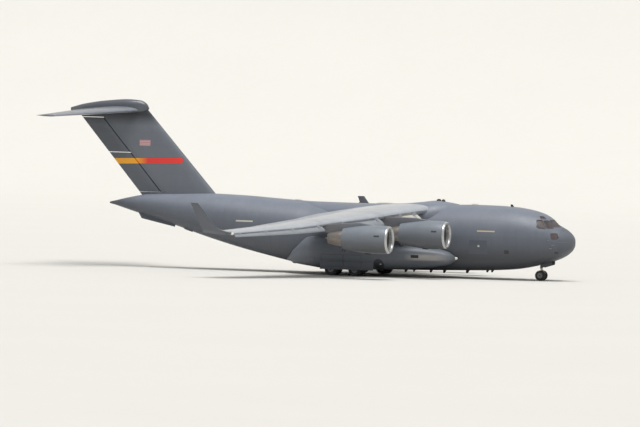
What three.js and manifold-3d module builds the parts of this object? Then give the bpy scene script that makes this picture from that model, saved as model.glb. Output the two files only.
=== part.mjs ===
import * as THREE from "three";
import { mergeVertices } from "three/addons/utils/BufferGeometryUtils.js";
import Module from "manifold-3d";

// Half-size model of a four-engined military transport aeroplane.
// Sizes are in metres of the full-size aeroplane, and MM turns them into model millimetres.
// A station is the distance aft of the nose tip. The model has +X to the nose, +Y to port, +Z up.

// Model size
const MODEL_SCALE = 0.5;
const MM = 1000 * MODEL_SCALE;
const LENGTH = 53.04;
const FIT = 0.0006;

// Hull
const WALL = 0.12;
const RADOME_END = 1.2;
const NOSE_END = 5.0;
const FORWARD_END = 12.9;
const CENTRE_END = 28.4;
const HULL_END = 48.6;
const HULL_SIDES = 24;
const LOWER_SQUARENESS = 2.7;
const UPPER_SQUARENESS = 2.06;
const HULL = [
  { station: 0.0, half: 0.16, bottom: 3.7, top: 4.02 },
  { station: 0.1, half: 0.55, bottom: 3.33, top: 4.34 },
  { station: 0.4, half: 1.08, bottom: 2.9, top: 4.72 },
  { station: 0.9, half: 1.58, bottom: 2.5, top: 5.1 },
  { station: 1.5, half: 1.99, bottom: 2.18, top: 5.42 },
  { station: 1.95, half: 2.22, bottom: 2.0, top: 5.72 },
  { station: 2.5, half: 2.46, bottom: 1.82, top: 6.22 },
  { station: 3.3, half: 2.73, bottom: 1.58, top: 6.62 },
  { station: 4.4, half: 2.98, bottom: 1.3, top: 6.92 },
  { station: 6.0, half: 3.18, bottom: 1.03, top: 7.15 },
  { station: 8.0, half: 3.27, bottom: 0.88, top: 7.24 },
  { station: 10.0, half: 3.3, bottom: 0.8, top: 7.26 },
  { station: 18.0, half: 3.3, bottom: 0.62, top: 6.95 },
  { station: 26.5, half: 3.3, bottom: 0.62, top: 6.95 },
  { station: 28.4, half: 3.28, bottom: 0.96, top: 7.15 },
  { station: 31.0, half: 3.2, bottom: 1.5, top: 7.31 },
  { station: 34.5, half: 2.98, bottom: 2.3, top: 7.5 },
  { station: 38.0, half: 2.56, bottom: 3.24, top: 7.58 },
  { station: 41.5, half: 1.98, bottom: 4.32, top: 7.46 },
  { station: 44.5, half: 1.36, bottom: 5.14, top: 7.32 },
  { station: 46.8, half: 0.8, bottom: 5.8, top: 6.9 },
  { station: 48.0, half: 0.42, bottom: 6.14, top: 6.6 },
  { station: 48.6, half: 0.18, bottom: 6.28, top: 6.46 },
];

// Flight deck windows, as angles round a post on the centreline, one side
const PANE_POST = 4.6;
const PANES = [
  { from: 2.5, to: 24, low: 5.35, high: 5.98 },
  { from: 26.5, to: 41, low: 5.2, high: 5.95 },
  { from: 43.5, to: 62, low: 5.12, high: 5.98 },
  { from: 30, to: 47, low: 6.1, high: 6.32 },
  { from: 26, to: 37, low: 4.15, high: 4.7 },
];
const GLASS_BAND = { angle: 66, low: 4.05, high: 6.42, start: 1.26, thickness: 0.04 };

// Hold, loading ramp, cargo door and crew door
const FLOOR_TOP = 1.63;
const FLOOR_THICKNESS = 0.16;
const RAMP = { from: 28.5, to: 34.4, half: 2.2, depth: 0.34, clear: 1.3 };
const RAMP_HINGE = { drop: 0.03, pin: 0.015, lug: 0.035, root: 0.13, near: 1.0, middle: 1.1, far: 1.2 };
const CARGO_DOOR = { from: 34.5, to: 40.2, half: 1.6, clear: 1.1, pivot: 1.14 };
const DOOR_ARM = { from: 39.3, near: 1.34, far: 1.44, pin: 0.04, reach: 1.8, boss: 0.1 };
const CREW_DOOR = { from: 5.3, to: 6.35, low: 2.1, high: 4.0 };
const DOOR_GAP = 0.012;

// Nose gear
const NOSE_GEAR = 3.35;
const NOSE_TYRE = { radius: 0.508, width: 0.4, pitch: 0.74 };
const TOW_LUG = { reach: 0.36, half: 0.09, low: 0.66, high: 0.82 };
const NOSE_BAY = { from: 2.1, to: 4.35, half: 0.62, roof: 2.5, skin: 0.05 };
const NOSE_DOOR = { from: 2.15, to: 3.25, hang: 0.34, tuck: 0.3, thick: 0.035 };
const NOSE_COLLAR = 1.3;
const NOSE_AXLE = 0.06;

// Main gear
const MAIN_ROWS = { front: 20.95, rear: 23.4 };
const TRACK_HALF = 4.4;
const MAIN_TYRE = { radius: 0.635, width: 0.52, pitch: 0.76 };
const MAIN_AXLE = 0.09;
const WHEEL_SIDES = 16;

// Gear pods, from the inner edge under the hull to the outer side
const POD = [
  { station: 11.0, inner: 2.0, out: 3.5, bottom: 1.7, top: 2.3 },
  { station: 12.5, inner: 2.0, out: 4.15, bottom: 1.25, top: 2.8 },
  { station: 14.5, inner: 2.0, out: 4.8, bottom: 0.95, top: 3.15 },
  { station: 17.5, inner: 2.0, out: 5.35, bottom: 0.72, top: 3.45 },
  { station: 20.0, inner: 2.0, out: 5.7, bottom: 0.62, top: 3.65 },
  { station: 24.6, inner: 2.0, out: 5.72, bottom: 0.6, top: 3.8 },
  { station: 26.2, inner: 2.1, out: 5.3, bottom: 0.78, top: 3.75 },
  { station: 27.4, inner: 2.25, out: 4.7, bottom: 0.95, top: 2.8 },
  { station: 28.8, inner: 2.45, out: 3.4, bottom: 1.2, top: 1.55 },
];
const WELL = { from: 20.0, to: 24.4, inner: 3.3, outer: 5.5, deck: 1.75 };
const POD_DOOR = { from: 18.95, to: 24.45, near: 5.5, far: 5.57, low: 0.6, high: 2.0 };

// Wing, one side: leading edge station, chord, height of the chord line, thickness and nose-up angle
const WING = [
  { y: 2.2, lead: 14.0, chord: 11.5, z: 6.5, thick: 1.25, twist: 3.5 },
  { y: 3.4, lead: 14.65, chord: 10.9, z: 6.42, thick: 1.2, twist: 3.4 },
  { y: 9.6, lead: 18.1, chord: 7.8, z: 5.72, thick: 0.85, twist: 2.4 },
  { y: 17.5, lead: 22.6, chord: 5.2, z: 4.88, thick: 0.56, twist: 1.2 },
  { y: 25.2, lead: 26.95, chord: 2.9, z: 4.35, thick: 0.3, twist: 0.2 },
];
const WINGLET = [
  { y: 25.2, lead: 26.95, chord: 2.9, z: 4.35, thick: 0.3, lean: 0 },
  { y: 25.52, lead: 28.1, chord: 1.75, z: 4.75, thick: 0.2, lean: 0.75 },
  { y: 25.87, lead: 30.2, chord: 0.72, z: 7.2, thick: 0.08, lean: 1.35 },
];
const AEROFOIL = [
  { x: 0.0, up: 0.0, down: 0.0 },
  { x: 0.012, up: 0.17, down: 0.15 },
  { x: 0.04, up: 0.3, down: 0.26 },
  { x: 0.1, up: 0.43, down: 0.38 },
  { x: 0.22, up: 0.54, down: 0.45 },
  { x: 0.38, up: 0.56, down: 0.44 },
  { x: 0.55, up: 0.48, down: 0.35 },
  { x: 0.72, up: 0.33, down: 0.2 },
  { x: 0.87, up: 0.17, down: 0.08 },
  { x: 1.0, up: 0.035, down: 0.015 },
];
const NOSE_SPAR = 0.09;
const FIXED_NOSE = 0.03;
const SPAR_GAP = 0.0012;

// Slats: spanwise reach, with how far they stand forward, hang down and turn
const SLATS = [
  { from: 3.75, to: 6.45 },
  { from: 8.15, to: 13.15 },
  { from: 14.85, to: 24.75 },
];
const SLAT_OUT = { forward: 0.055, down: 0.028, hang: 0.12, turn: 24, reach: 0.135 };

// Flaps and ailerons, one side: span ends, hinge line as a share of chord, travel in degrees
const FLAPS = {
  inner: { from: 3.95, to: 9.15, at: 0.74, drop: 40 },
  outer: { from: 9.95, to: 17.3, at: 0.74, drop: 40 },
};
const AILERON = { from: 17.75, to: 24.4, at: 0.76, travel: 22 };
const FLAP_PIVOT = -0.42;
const HINGE_FAIRINGS = [4.6, 8.5, 12.6, 16.6];
const FAIRING_HALF = 0.16;
const FLAP_HINGE = { pin: 0.015, ear: 0.035, lug: 0.03, near: 0.036, far: 0.09 };
const AILERON_LIFT = 0.05;

// End pins of the ailerons, elevators and rudders
const PIN = { radius: 0.011, sides: 8, overlap: 0.05, reach: 0.06, spare: 0.01 };
const CONTROL_GAP = 0.014;

// Engines
const ENGINES = {
  inboard: { y: 7.25, lip: 10.85, z: 4.35 },
  outboard: { y: 14.1, lip: 14.5, z: 3.9 },
};
const COWL_OUTER = [
  { at: 0.0, r: 1.23 },
  { at: 0.07, r: 1.3 },
  { at: 0.35, r: 1.355 },
  { at: 1.2, r: 1.39 },
  { at: 2.3, r: 1.36 },
  { at: 3.6, r: 1.21 },
  { at: 4.75, r: 1.03 },
];
const COWL_INNER = [
  { at: 4.75, r: 1.0 },
  { at: 3.4, r: 1.08 },
  { at: 0.8, r: 1.0 },
  { at: 0.2, r: 1.05 },
  { at: 0.02, r: 1.16 },
];
const CORE = [
  { at: 1.78, r: 0.0 },
  { at: 1.78, r: 0.5 },
  { at: 3.6, r: 0.8 },
  { at: 4.9, r: 0.78 },
  { at: 6.3, r: 0.55 },
  { at: 6.3, r: 0.5 },
  { at: 5.6, r: 0.5 },
  { at: 5.6, r: 0.3 },
  { at: 6.72, r: 0.0 },
];
const FAN = { at: 1.35, depth: 0.24, tip: 0.965, hub: 0.34, blades: 16, spinner: 0.62, back: 1.768 };
const FAN_SHAFT = { radius: 0.12, end: 2.05 };
const VANES = 6;
const COWL_SIDES = 20;
const CORE_SIDES = 12;

// Fin, rudders and T-tail
const FIN = [
  { z: 6.9, lead: 36.8, chord: 8.2, thick: 1.06 },
  { z: 7.55, lead: 37.42, chord: 8.09, thick: 0.98 },
  { z: 15.9, lead: 44.94, chord: 7.72, thick: 0.62 },
];
const RUDDER = {
  at: 0.7,
  travel: 22,
  under: 0.1,
  over: 0.12,
  spans: [
    { low: 7.56, high: 11.3 },
    { low: 11.47, high: 14.8 },
  ],
};
const RUDDER_LUGS = [
  { low: 7.4, high: 7.535 },
  { low: 11.345, high: 11.425 },
  { low: 14.835, high: 14.98 },
];
const RUDDER_PINS = [
  { of: 0, from: 7.61, to: 7.45 },
  { of: 0, from: 11.25, to: 11.38 },
  { of: 1, from: 11.52, to: 11.39 },
  { of: 1, from: 14.75, to: 14.94 },
];
const STRAKE = { y: 0.95, lean: 0.22, thick: 0.06 };
const STRAKE_OUTLINE = [
  { station: 41.2, z: 4.75 },
  { station: 41.3, z: 4.15 },
  { station: 44.9, z: 4.9 },
  { station: 45.6, z: 5.95 },
];
const BULLET = [
  { station: 44.72, half: 0.08, bottom: 15.8, top: 15.98 },
  { station: 44.95, half: 0.28, bottom: 15.62, top: 16.36 },
  { station: 45.6, half: 0.48, bottom: 15.43, top: 16.7 },
  { station: 46.9, half: 0.6, bottom: 15.34, top: 16.79 },
  { station: 49.2, half: 0.55, bottom: 15.28, top: 16.62 },
  { station: 51.6, half: 0.4, bottom: 15.32, top: 16.24 },
  { station: 53.02, half: 0.16, bottom: 15.5, top: 15.84 },
];
const TAILPLANE = [
  { y: 0.0, lead: 45.5, chord: 6.0, z: 15.72, thick: 0.66, twist: 0 },
  { y: 9.9, lead: 51.0, chord: 2.04, z: 15.0, thick: 0.2, twist: 0 },
];
const ELEVATOR = { from: 0.95, to: 9.5, at: 0.7, travel: 20 };

const wasm = await Module();
wasm.setup();

// Shape tools

function point(station, y, z) {
  return new THREE.Vector3((LENGTH / 2 - station) * MM, y * MM, z * MM);
}

function toSolid(geometry) {
  const bare = geometry.clone();
  bare.deleteAttribute("normal");
  bare.deleteAttribute("uv");
  const merged = mergeVertices(bare, 1e-3);
  const mesh = {
    numProp: 3,
    vertProperties: new Float32Array(merged.attributes.position.array),
    triVerts: new Uint32Array(merged.index.array),
  };
  const made = new wasm.Manifold(new wasm.Mesh(mesh));
  if (made.volume() >= 0) return made;
  const turned = mesh.triVerts;
  for (let i = 0; i < turned.length; i += 3) {
    [turned[i + 1], turned[i + 2]] = [turned[i + 2], turned[i + 1]];
  }
  return new wasm.Manifold(new wasm.Mesh(mesh));
}

// A closed body through rings of equally many points, with flat ends.
// The four-sided faces that back picks are split the other way, so that a hull's two sides match.
function loft(rings, back = () => false) {
  const count = rings[0].length;
  const positions = rings.flat().flatMap((p) => [p.x, p.y, p.z]);
  const faces = [];
  for (let r = 0; r + 1 < rings.length; r++) {
    for (let i = 0; i < count; i++) {
      const a = r * count + i;
      const b = r * count + ((i + 1) % count);
      if (back(i)) faces.push(a, b, b + count, a, b + count, a + count);
      else faces.push(a, b, a + count, b, b + count, a + count);
    }
  }
  const ends = [
    [0, rings[0], true],
    [(rings.length - 1) * count, rings[rings.length - 1], false],
  ];
  for (const [start, ring, first] of ends) {
    const middle = ring.reduce((sum, p) => sum.add(p), new THREE.Vector3()).divideScalar(count);
    const centre = positions.length / 3;
    positions.push(middle.x, middle.y, middle.z);
    for (let i = 0; i < count; i++) {
      const a = start + i;
      const b = start + ((i + 1) % count);
      if (first) faces.push(b, a, centre);
      else faces.push(a, b, centre);
    }
  }
  const geometry = new THREE.BufferGeometry();
  geometry.setAttribute("position", new THREE.Float32BufferAttribute(positions, 3));
  geometry.setIndex(faces);
  return toSolid(geometry);
}

function box(s0, s1, y0, y1, z0, z1) {
  const geometry = new THREE.BoxGeometry((s1 - s0) * MM, (y1 - y0) * MM, (z1 - z0) * MM);
  const middle = point((s0 + s1) / 2, (y0 + y1) / 2, (z0 + z1) / 2);
  geometry.translate(middle.x, middle.y, middle.z);
  return toSolid(geometry);
}

// A flat outline in station and height, pushed across from y0 to y1
function sidePlate(outline, y0, y1) {
  const ring = (y) => outline.map(([s, z]) => point(s, y, z));
  return loft([ring(y0), ring(y1)]);
}

// A turned body about a line along X, Y or Z, where offset turns its facets
function turned(profile, sides, axis, centre, offset = 0) {
  const points = profile.map((p) => new THREE.Vector2(p.r * MM, p.at * MM));
  const geometry = new THREE.LatheGeometry(points, sides, offset);
  if (axis === "aft") geometry.rotateZ(Math.PI / 2);
  if (axis === "up") geometry.rotateX(Math.PI / 2);
  geometry.translate(centre.x, centre.y, centre.z);
  return toSolid(geometry);
}

function cylinder(radius, length, sides, axis, centre, offset) {
  const rows = [
    { at: -length / 2, r: 0 },
    { at: -length / 2, r: radius },
    { at: length / 2, r: radius },
    { at: length / 2, r: 0 },
  ];
  return turned(rows, sides, axis, centre, offset);
}

// Corner radius of a many-sided bore that a pin turns in
function boreRadius(pin, sides) {
  return (pin + FIT) / Math.cos(Math.PI / sides);
}

// A round rod from a to b, where turn rolls its facets
function rod(a, b, radius, sides, turn = 0) {
  const along = b.clone().sub(a).normalize();
  const aft = new THREE.Vector3(-1, 0, 0);
  const across = aft.addScaledVector(along, -aft.dot(along)).normalize();
  const square = new THREE.Vector3().crossVectors(along, across);
  const ring = (base) =>
    Array.from({ length: sides }, (_, i) => {
      const angle = (2 * Math.PI * i) / sides + turn;
      return base
        .clone()
        .addScaledVector(across, radius * MM * Math.cos(angle))
        .addScaledVector(square, radius * MM * Math.sin(angle));
    });
  return loft([ring(a), ring(b)]);
}

// The bore that a pin turns in, with its flats where the pin has its corners
function pinBore(a, b, radius) {
  return rod(a, b, boreRadius(radius, PIN.sides), PIN.sides, Math.PI / PIN.sides);
}

function union(list) {
  return list.reduce((sum, next) => sum.add(next));
}

// A smooth curve through the rows of a table, with no overshoot
function through(rows, key, column, at) {
  const xs = rows.map((row) => row[key]);
  const ys = rows.map((row) => row[column]);
  const last = xs.length - 1;
  if (at <= xs[0]) return ys[0];
  if (at >= xs[last]) return ys[last];
  let i = 0;
  while (at > xs[i + 1]) i++;
  const slope = (k) => (ys[k + 1] - ys[k]) / (xs[k + 1] - xs[k]);
  const tangent = (k) => {
    if (k === 0) return slope(0);
    if (k === last) return slope(last - 1);
    const before = slope(k - 1);
    const after = slope(k);
    if (before * after <= 0) return 0;
    return (2 * before * after) / (before + after);
  };
  const width = xs[i + 1] - xs[i];
  const t = (at - xs[i]) / width;
  const t2 = t * t;
  const t3 = t2 * t;
  return (
    (2 * t3 - 3 * t2 + 1) * ys[i] +
    (t3 - 2 * t2 + t) * width * tangent(i) +
    (-2 * t3 + 3 * t2) * ys[i + 1] +
    (t3 - t2) * width * tangent(i + 1)
  );
}

function straight(rows, key, column, at) {
  let i = 0;
  while (i < rows.length - 2 && at > rows[i + 1][key]) i++;
  const t = (at - rows[i][key]) / (rows[i + 1][key] - rows[i][key]);
  return rows[i][column] + t * (rows[i + 1][column] - rows[i][column]);
}

// Hull

function ovalRing(station, half, bottom, top, sides, lowPower, highPower) {
  const middle = (bottom + top) / 2;
  const ring = [];
  for (let i = 0; i < sides; i++) {
    const angle = (2 * Math.PI * i) / sides;
    const power = Math.sin(angle) < 0 ? lowPower : highPower;
    const across = Math.sign(Math.cos(angle)) * Math.abs(Math.cos(angle)) ** (2 / power);
    const rise = Math.sign(Math.sin(angle)) * Math.abs(Math.sin(angle)) ** (2 / power);
    ring.push(point(station, half * across, middle + ((top - bottom) / 2) * rise));
  }
  return ring;
}

function hullStations() {
  const list = [];
  for (let i = 0; i + 1 < HULL.length; i++) {
    const here = HULL[i].station;
    const next = HULL[i + 1].station;
    const parts = here < 10 || here > 26 ? Math.max(1, Math.round((next - here) / 2.2)) : 1;
    for (let k = 0; k < parts; k++) list.push(here + ((next - here) * k) / parts);
  }
  list.push(HULL_END);
  return list;
}

const slab = (from, to) => box(from, to, -9, 9, -1, 12);

// The hull's outside drawn in by an inset, or let out by a negative one
function hullBody(inset, from = 0, to = HULL_END) {
  const stations = hullStations().filter((s) => inset <= 0 || s < 47);
  const whole = loft(
    stations.map((s) => {
      const half = through(HULL, "station", "half", s) - inset;
      const bottom = through(HULL, "station", "bottom", s) + inset;
      const top = through(HULL, "station", "top", s) - inset;
      return ovalRing(s, half, bottom, top, HULL_SIDES, LOWER_SQUARENESS, UPPER_SQUARENESS);
    }),
    (i) => i >= HULL_SIDES / 4 && i < (HULL_SIDES * 3) / 4,
  );
  return from > 0 || to < HULL_END ? whole.intersect(slab(from, to)) : whole;
}

const hullOuter = hullBody(0);
const hullGrown = hullBody(-FIT);
const hullInner = hullBody(WALL, RADOME_END - 0.2);
const hullLining = hullBody(WALL + FIT, RADOME_END);

// A wedge seen from above, from angle a to b off the nose line, round the pane post
function sector(a, b, low, high) {
  const steps = Math.max(1, Math.round((b - a) / 12));
  const spots = [];
  for (let i = 0; i <= steps; i++) {
    const angle = THREE.MathUtils.degToRad(a + ((b - a) * i) / steps);
    spots.push([PANE_POST - 5 * Math.cos(angle), -5 * Math.sin(angle)]);
  }
  for (let i = steps; i >= 0; i--) {
    const angle = THREE.MathUtils.degToRad(a + ((b - a) * i) / steps);
    spots.push([PANE_POST - 0.6 * Math.cos(angle), -0.6 * Math.sin(angle)]);
  }
  const ring = (z) => spots.map(([s, y]) => point(s, y, z));
  return loft([ring(low), ring(high)]);
}

const mirrorY = (solid) => solid.mirror([0, 1, 0]);

const shell = hullOuter.subtract(hullInner);

function windowCuts() {
  const cuts = PANES.map((p) => sector(p.from, p.to, p.low, p.high));
  return union(cuts.concat(cuts.map(mirrorY)));
}

// Ramp and cargo door openings, below a slope that follows the hull's underside

function underside(station) {
  return through(HULL, "station", "bottom", station);
}

function slopedBlock(from, to, half, above) {
  const outline = [
    [from, -0.5],
    [from, underside(from) + above],
    [to, underside(to) + above],
    [to, -0.5 + underside(to)],
  ];
  return sidePlate(outline, -half, half);
}

const rampHole = slopedBlock(RAMP.from - DOOR_GAP, RAMP.to + 0.05, RAMP.half + DOOR_GAP, RAMP.clear);
const doorHole = slopedBlock(
  CARGO_DOOR.from - 0.06,
  CARGO_DOOR.to + DOOR_GAP,
  CARGO_DOOR.half + DOOR_GAP,
  CARGO_DOOR.clear,
);

// The ramp's hinge under its front edge: a lug on the hull, and an arm and pin on the ramp
function rampHinge() {
  const hinge = RAMP_HINGE;
  const s = RAMP.from;
  const z = underside(s) - hinge.drop;
  const lug = [
    [s - 0.09, z - hinge.lug],
    [s + hinge.lug, z - hinge.lug],
    [s + hinge.lug, z + hinge.lug],
    [s - 0.02, z + hinge.lug],
    [s - 0.02, z + hinge.root],
    [s - 0.09, z + hinge.root],
  ];
  const arm = [
    [s - hinge.lug, z - hinge.lug],
    [s + 0.25, z],
    [s + 0.25, z + hinge.root + 0.07],
    [s + 0.01, z + hinge.root],
    [s - hinge.lug, z + 0.02],
  ];
  const spot = (y) => point(s, y, z);
  return {
    lug: sidePlate(lug, hinge.near, hinge.middle).subtract(pinBore(spot(0.9), spot(1.3), hinge.pin)),
    arm: sidePlate(arm, hinge.middle + 0.006, hinge.far).add(
      rod(spot(hinge.near - PIN.spare), spot(hinge.middle + 0.02), hinge.pin, PIN.sides),
    ),
  };
}

const ramp = union([
  shell.intersect(slopedBlock(RAMP.from, RAMP.to, RAMP.half, RAMP.clear)),
  hullOuter.intersect(slopedBlock(RAMP.from, RAMP.to - 0.1, RAMP.half, RAMP.depth)),
  rampHinge().arm,
  mirrorY(rampHinge().arm),
]);

// The cargo door's arms rise inside the hull to its pivot, and their pins turn in bosses on the hull
const doorPivot = (y) => point(CARGO_DOOR.to, y, underside(CARGO_DOOR.to) + CARGO_DOOR.pivot);

function doorArm() {
  const top = underside(CARGO_DOOR.to) + CARGO_DOOR.pivot;
  const outline = [
    [DOOR_ARM.from, underside(DOOR_ARM.from)],
    [CARGO_DOOR.to - 0.04, underside(CARGO_DOOR.to)],
    [CARGO_DOOR.to + 0.07, top - 0.04],
    [CARGO_DOOR.to + 0.05, top + 0.07],
    [CARGO_DOOR.to - 0.1, top + 0.05],
    [DOOR_ARM.from, underside(DOOR_ARM.from) + 0.3],
  ];
  const arm = sidePlate(outline, DOOR_ARM.near, DOOR_ARM.far);
  const pin = rod(doorPivot(DOOR_ARM.near), doorPivot(DOOR_ARM.reach), DOOR_ARM.pin, PIN.sides);
  return arm.intersect(hullOuter).add(pin);
}

function doorBoss() {
  const boss = rod(doorPivot(DOOR_ARM.far + 0.04), doorPivot(3), DOOR_ARM.boss, PIN.sides);
  const bore = pinBore(doorPivot(DOOR_ARM.far), doorPivot(DOOR_ARM.reach + PIN.spare), DOOR_ARM.pin);
  return boss.intersect(hullOuter).subtract(bore);
}

const cargoDoor = union([
  shell.intersect(slopedBlock(CARGO_DOOR.from, CARGO_DOOR.to, CARGO_DOOR.half, CARGO_DOOR.clear)),
  doorArm(),
  mirrorY(doorArm()),
]);

const crewHole = box(
  CREW_DOOR.from - DOOR_GAP,
  CREW_DOOR.to + DOOR_GAP,
  1.5,
  5,
  CREW_DOOR.low - DOOR_GAP,
  CREW_DOOR.high + DOOR_GAP,
);
const crewDoor = shell.intersect(
  box(CREW_DOOR.from, CREW_DOOR.to, 1.5, 5, CREW_DOOR.low, CREW_DOOR.high),
);

// Hull pieces

const bay = NOSE_BAY;
const bayWide = bay.half + bay.skin;
const bayOuter = box(bay.from - bay.skin, bay.to + bay.skin, -bayWide, bayWide, 0.5, bay.roof);
const bayInner = box(bay.from, bay.to, -bay.half, bay.half, 0.4, bay.roof - bay.skin);

const radome = hullOuter.intersect(slab(-1, RADOME_END - FIT));
const noseSection = shell
  .intersect(slab(RADOME_END, NOSE_END - FIT))
  .add(bayOuter.intersect(hullOuter))
  .subtract(bayInner)
  .subtract(windowCuts());
const forward = shell.intersect(slab(NOSE_END, FORWARD_END - FIT)).subtract(crewHole);
const centre = shell.intersect(slab(FORWARD_END, CENTRE_END - FIT));

// A thin plate that stands out below the tail, to port
function strake() {
  const ring = (side) =>
    STRAKE_OUTLINE.map(({ station, z }) => {
      const out = STRAKE.y + (STRAKE_OUTLINE[0].z - z) * Math.tan(STRAKE.lean);
      return point(station, out + (side * STRAKE.thick) / 2, z);
    });
  return loft([ring(-1), ring(1)]).subtract(hullInner);
}

const aft = union([
  shell.intersect(slab(CENTRE_END, 60)).subtract(rampHole).subtract(doorHole),
  doorBoss(),
  mirrorY(doorBoss()),
  rampHinge().lug,
  mirrorY(rampHinge().lug),
  strake(),
  mirrorY(strake()),
]);

function noseDoor() {
  const low = (s) => underside(s) - NOSE_DOOR.hang;
  const high = (s) => underside(s) + NOSE_DOOR.tuck;
  const outline = [
    [NOSE_DOOR.from, low(NOSE_DOOR.from)],
    [NOSE_DOOR.to, low(NOSE_DOOR.to)],
    [NOSE_DOOR.to, high(NOSE_DOOR.to)],
    [NOSE_DOOR.from, high(NOSE_DOOR.from)],
  ];
  const out = bay.half - FIT;
  return sidePlate(outline, out - NOSE_DOOR.thick, out);
}

const band = GLASS_BAND;
const glazing = hullBody(WALL + FIT, band.start, 6)
  .subtract(hullBody(WALL + FIT + band.thickness))
  .intersect(sector(-band.angle, band.angle, band.low, band.high));

const holdFloor = hullLining.intersect(
  box(4.45, CENTRE_END - 0.05, -2.75, 2.75, FLOOR_TOP - FLOOR_THICKNESS, FLOOR_TOP),
);

function flightDeck() {
  const seats = [-0.75, 0.75].flatMap((y) => [
    box(3.5, 4.1, y - 0.28, y + 0.28, 3.8, 4.25),
    box(4.0, 4.15, y - 0.28, y + 0.28, 4.2, 5.05),
  ]);
  const bulkhead = box(5.42, 5.5, -3, 3, 3.7, 7.2).subtract(box(5.3, 5.6, -0.5, 0.5, 3.82, 5.85));
  const room = union([
    box(1.5, 5.5, -3, 3, 3.68, 3.82),
    bulkhead,
    box(2.35, 2.7, -1.5, 1.5, 3.8, 4.95),
    box(3.05, 4.1, -0.25, 0.25, 3.8, 4.45),
    ...seats,
  ]);
  return room.intersect(hullLining);
}

// Wing

function aerofoilRing(row, from, to, grow) {
  const upper = AEROFOIL.filter((p) => p.x > from && p.x < to).map((p) => [p.x, p.up]);
  const lower = AEROFOIL.filter((p) => p.x > from && p.x < to).map((p) => [p.x, -p.down]);
  const edge = (x) => ({
    up: straight(AEROFOIL, "x", "up", x),
    down: straight(AEROFOIL, "x", "down", x),
  });
  const ring = [];
  const a = edge(from);
  const b = edge(to);
  if (from === 0) ring.push([0, 0]);
  else ring.push([from, -a.down], [from, a.up]);
  ring.push(...upper, [to, b.up], [to, -b.down], ...lower.reverse());
  const angle = THREE.MathUtils.degToRad(row.twist || 0);
  return ring.map(([x, t]) => {
    const along = (x - 0.25) * row.chord + (x - 0.5) * 2 * grow;
    const high = t * row.thick + Math.sign(t) * grow;
    const station = row.lead + 0.25 * row.chord + along * Math.cos(angle) + high * Math.sin(angle);
    return point(station, row.y, row.z - along * Math.sin(angle) + high * Math.cos(angle));
  });
}

function wingRow(y) {
  const row = { y };
  for (const column of ["lead", "chord", "z", "thick", "twist"]) {
    row[column] = straight(WING, "y", column, y);
  }
  return row;
}

const wingBody = (grow) => loft(WING.map((row) => aerofoilRing(row, 0, 1, grow)));
const wingFull = wingBody(0);
const wingGrown = wingBody(FIT);

// All that lies ahead of the wing's nose spar
const aheadOfSpar = loft(
  WING.map((row) => {
    const front = row.lead - 2;
    const back = row.lead + NOSE_SPAR * row.chord;
    return [
      point(front, row.y, row.z - 3),
      point(front, row.y, row.z + 3),
      point(back, row.y, row.z + 3),
      point(back, row.y, row.z - 3),
    ];
  }),
);

// Point on the hinge line at a share of the chord, raised from the chord line by a share of thickness
function onWing(table, y, share, lift) {
  const value = (column) => straight(table, "y", column, y);
  const angle = THREE.MathUtils.degToRad(value("twist"));
  const along = (share - 0.25) * value("chord");
  return point(
    value("lead") + 0.25 * value("chord") + along * Math.cos(angle),
    y,
    value("z") - along * Math.sin(angle) + lift * value("thick"),
  );
}

// A prism along a hinge line: outline in (aft, up) metres, square to the line
function hingePrism(a, b, outline, overrun) {
  const along = b.clone().sub(a).normalize();
  const aft = new THREE.Vector3(-1, 0, 0);
  const up = new THREE.Vector3().crossVectors(along, aft).normalize();
  if (up.z < 0) up.negate();
  const back = new THREE.Vector3().crossVectors(up, along).normalize();
  if (back.x > 0) back.negate();
  const ring = (base) =>
    outline.map(([x, z]) =>
      base
        .clone()
        .addScaledVector(back, x * MM)
        .addScaledVector(up, z * MM),
    );
  const start = a.clone().addScaledVector(along, -overrun * MM);
  const end = b.clone().addScaledVector(along, overrun * MM);
  return loft([ring(start), ring(end)]);
}

// What a moving surface leaves in its parent, and the surface itself with its nose bevelled
function control(body, a, b, bevel) {
  const reach = 4;
  const height = 1.6;
  const hole = [
    [-CONTROL_GAP, -height],
    [-CONTROL_GAP, height],
    [reach, height],
    [reach, -height],
  ];
  const slant = height * Math.tan(THREE.MathUtils.degToRad(bevel));
  const outline = [
    [0, 0],
    [slant, height],
    [reach, height],
    [reach, -height],
    [slant, -height],
  ];
  return {
    fixed: body.subtract(hingePrism(a, b, hole, CONTROL_GAP)),
    moving: body.intersect(hingePrism(a, b, outline, 0)),
  };
}

// Adds a pin along the hinge line at both ends of a moving surface, and the bores that they turn in
function pinEnds({ fixed, moving }, a, b) {
  const along = b.clone().sub(a).normalize();
  const cut = { fixed, moving };
  for (const [end, way] of [
    [a, -1],
    [b, 1],
  ]) {
    const spot = (distance) => end.clone().addScaledVector(along, way * distance * MM);
    cut.moving = cut.moving.add(rod(spot(-PIN.overlap), spot(PIN.reach), PIN.radius, PIN.sides));
    cut.fixed = cut.fixed.subtract(pinBore(spot(0), spot(PIN.reach + PIN.spare), PIN.radius));
  }
  return cut;
}

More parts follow.
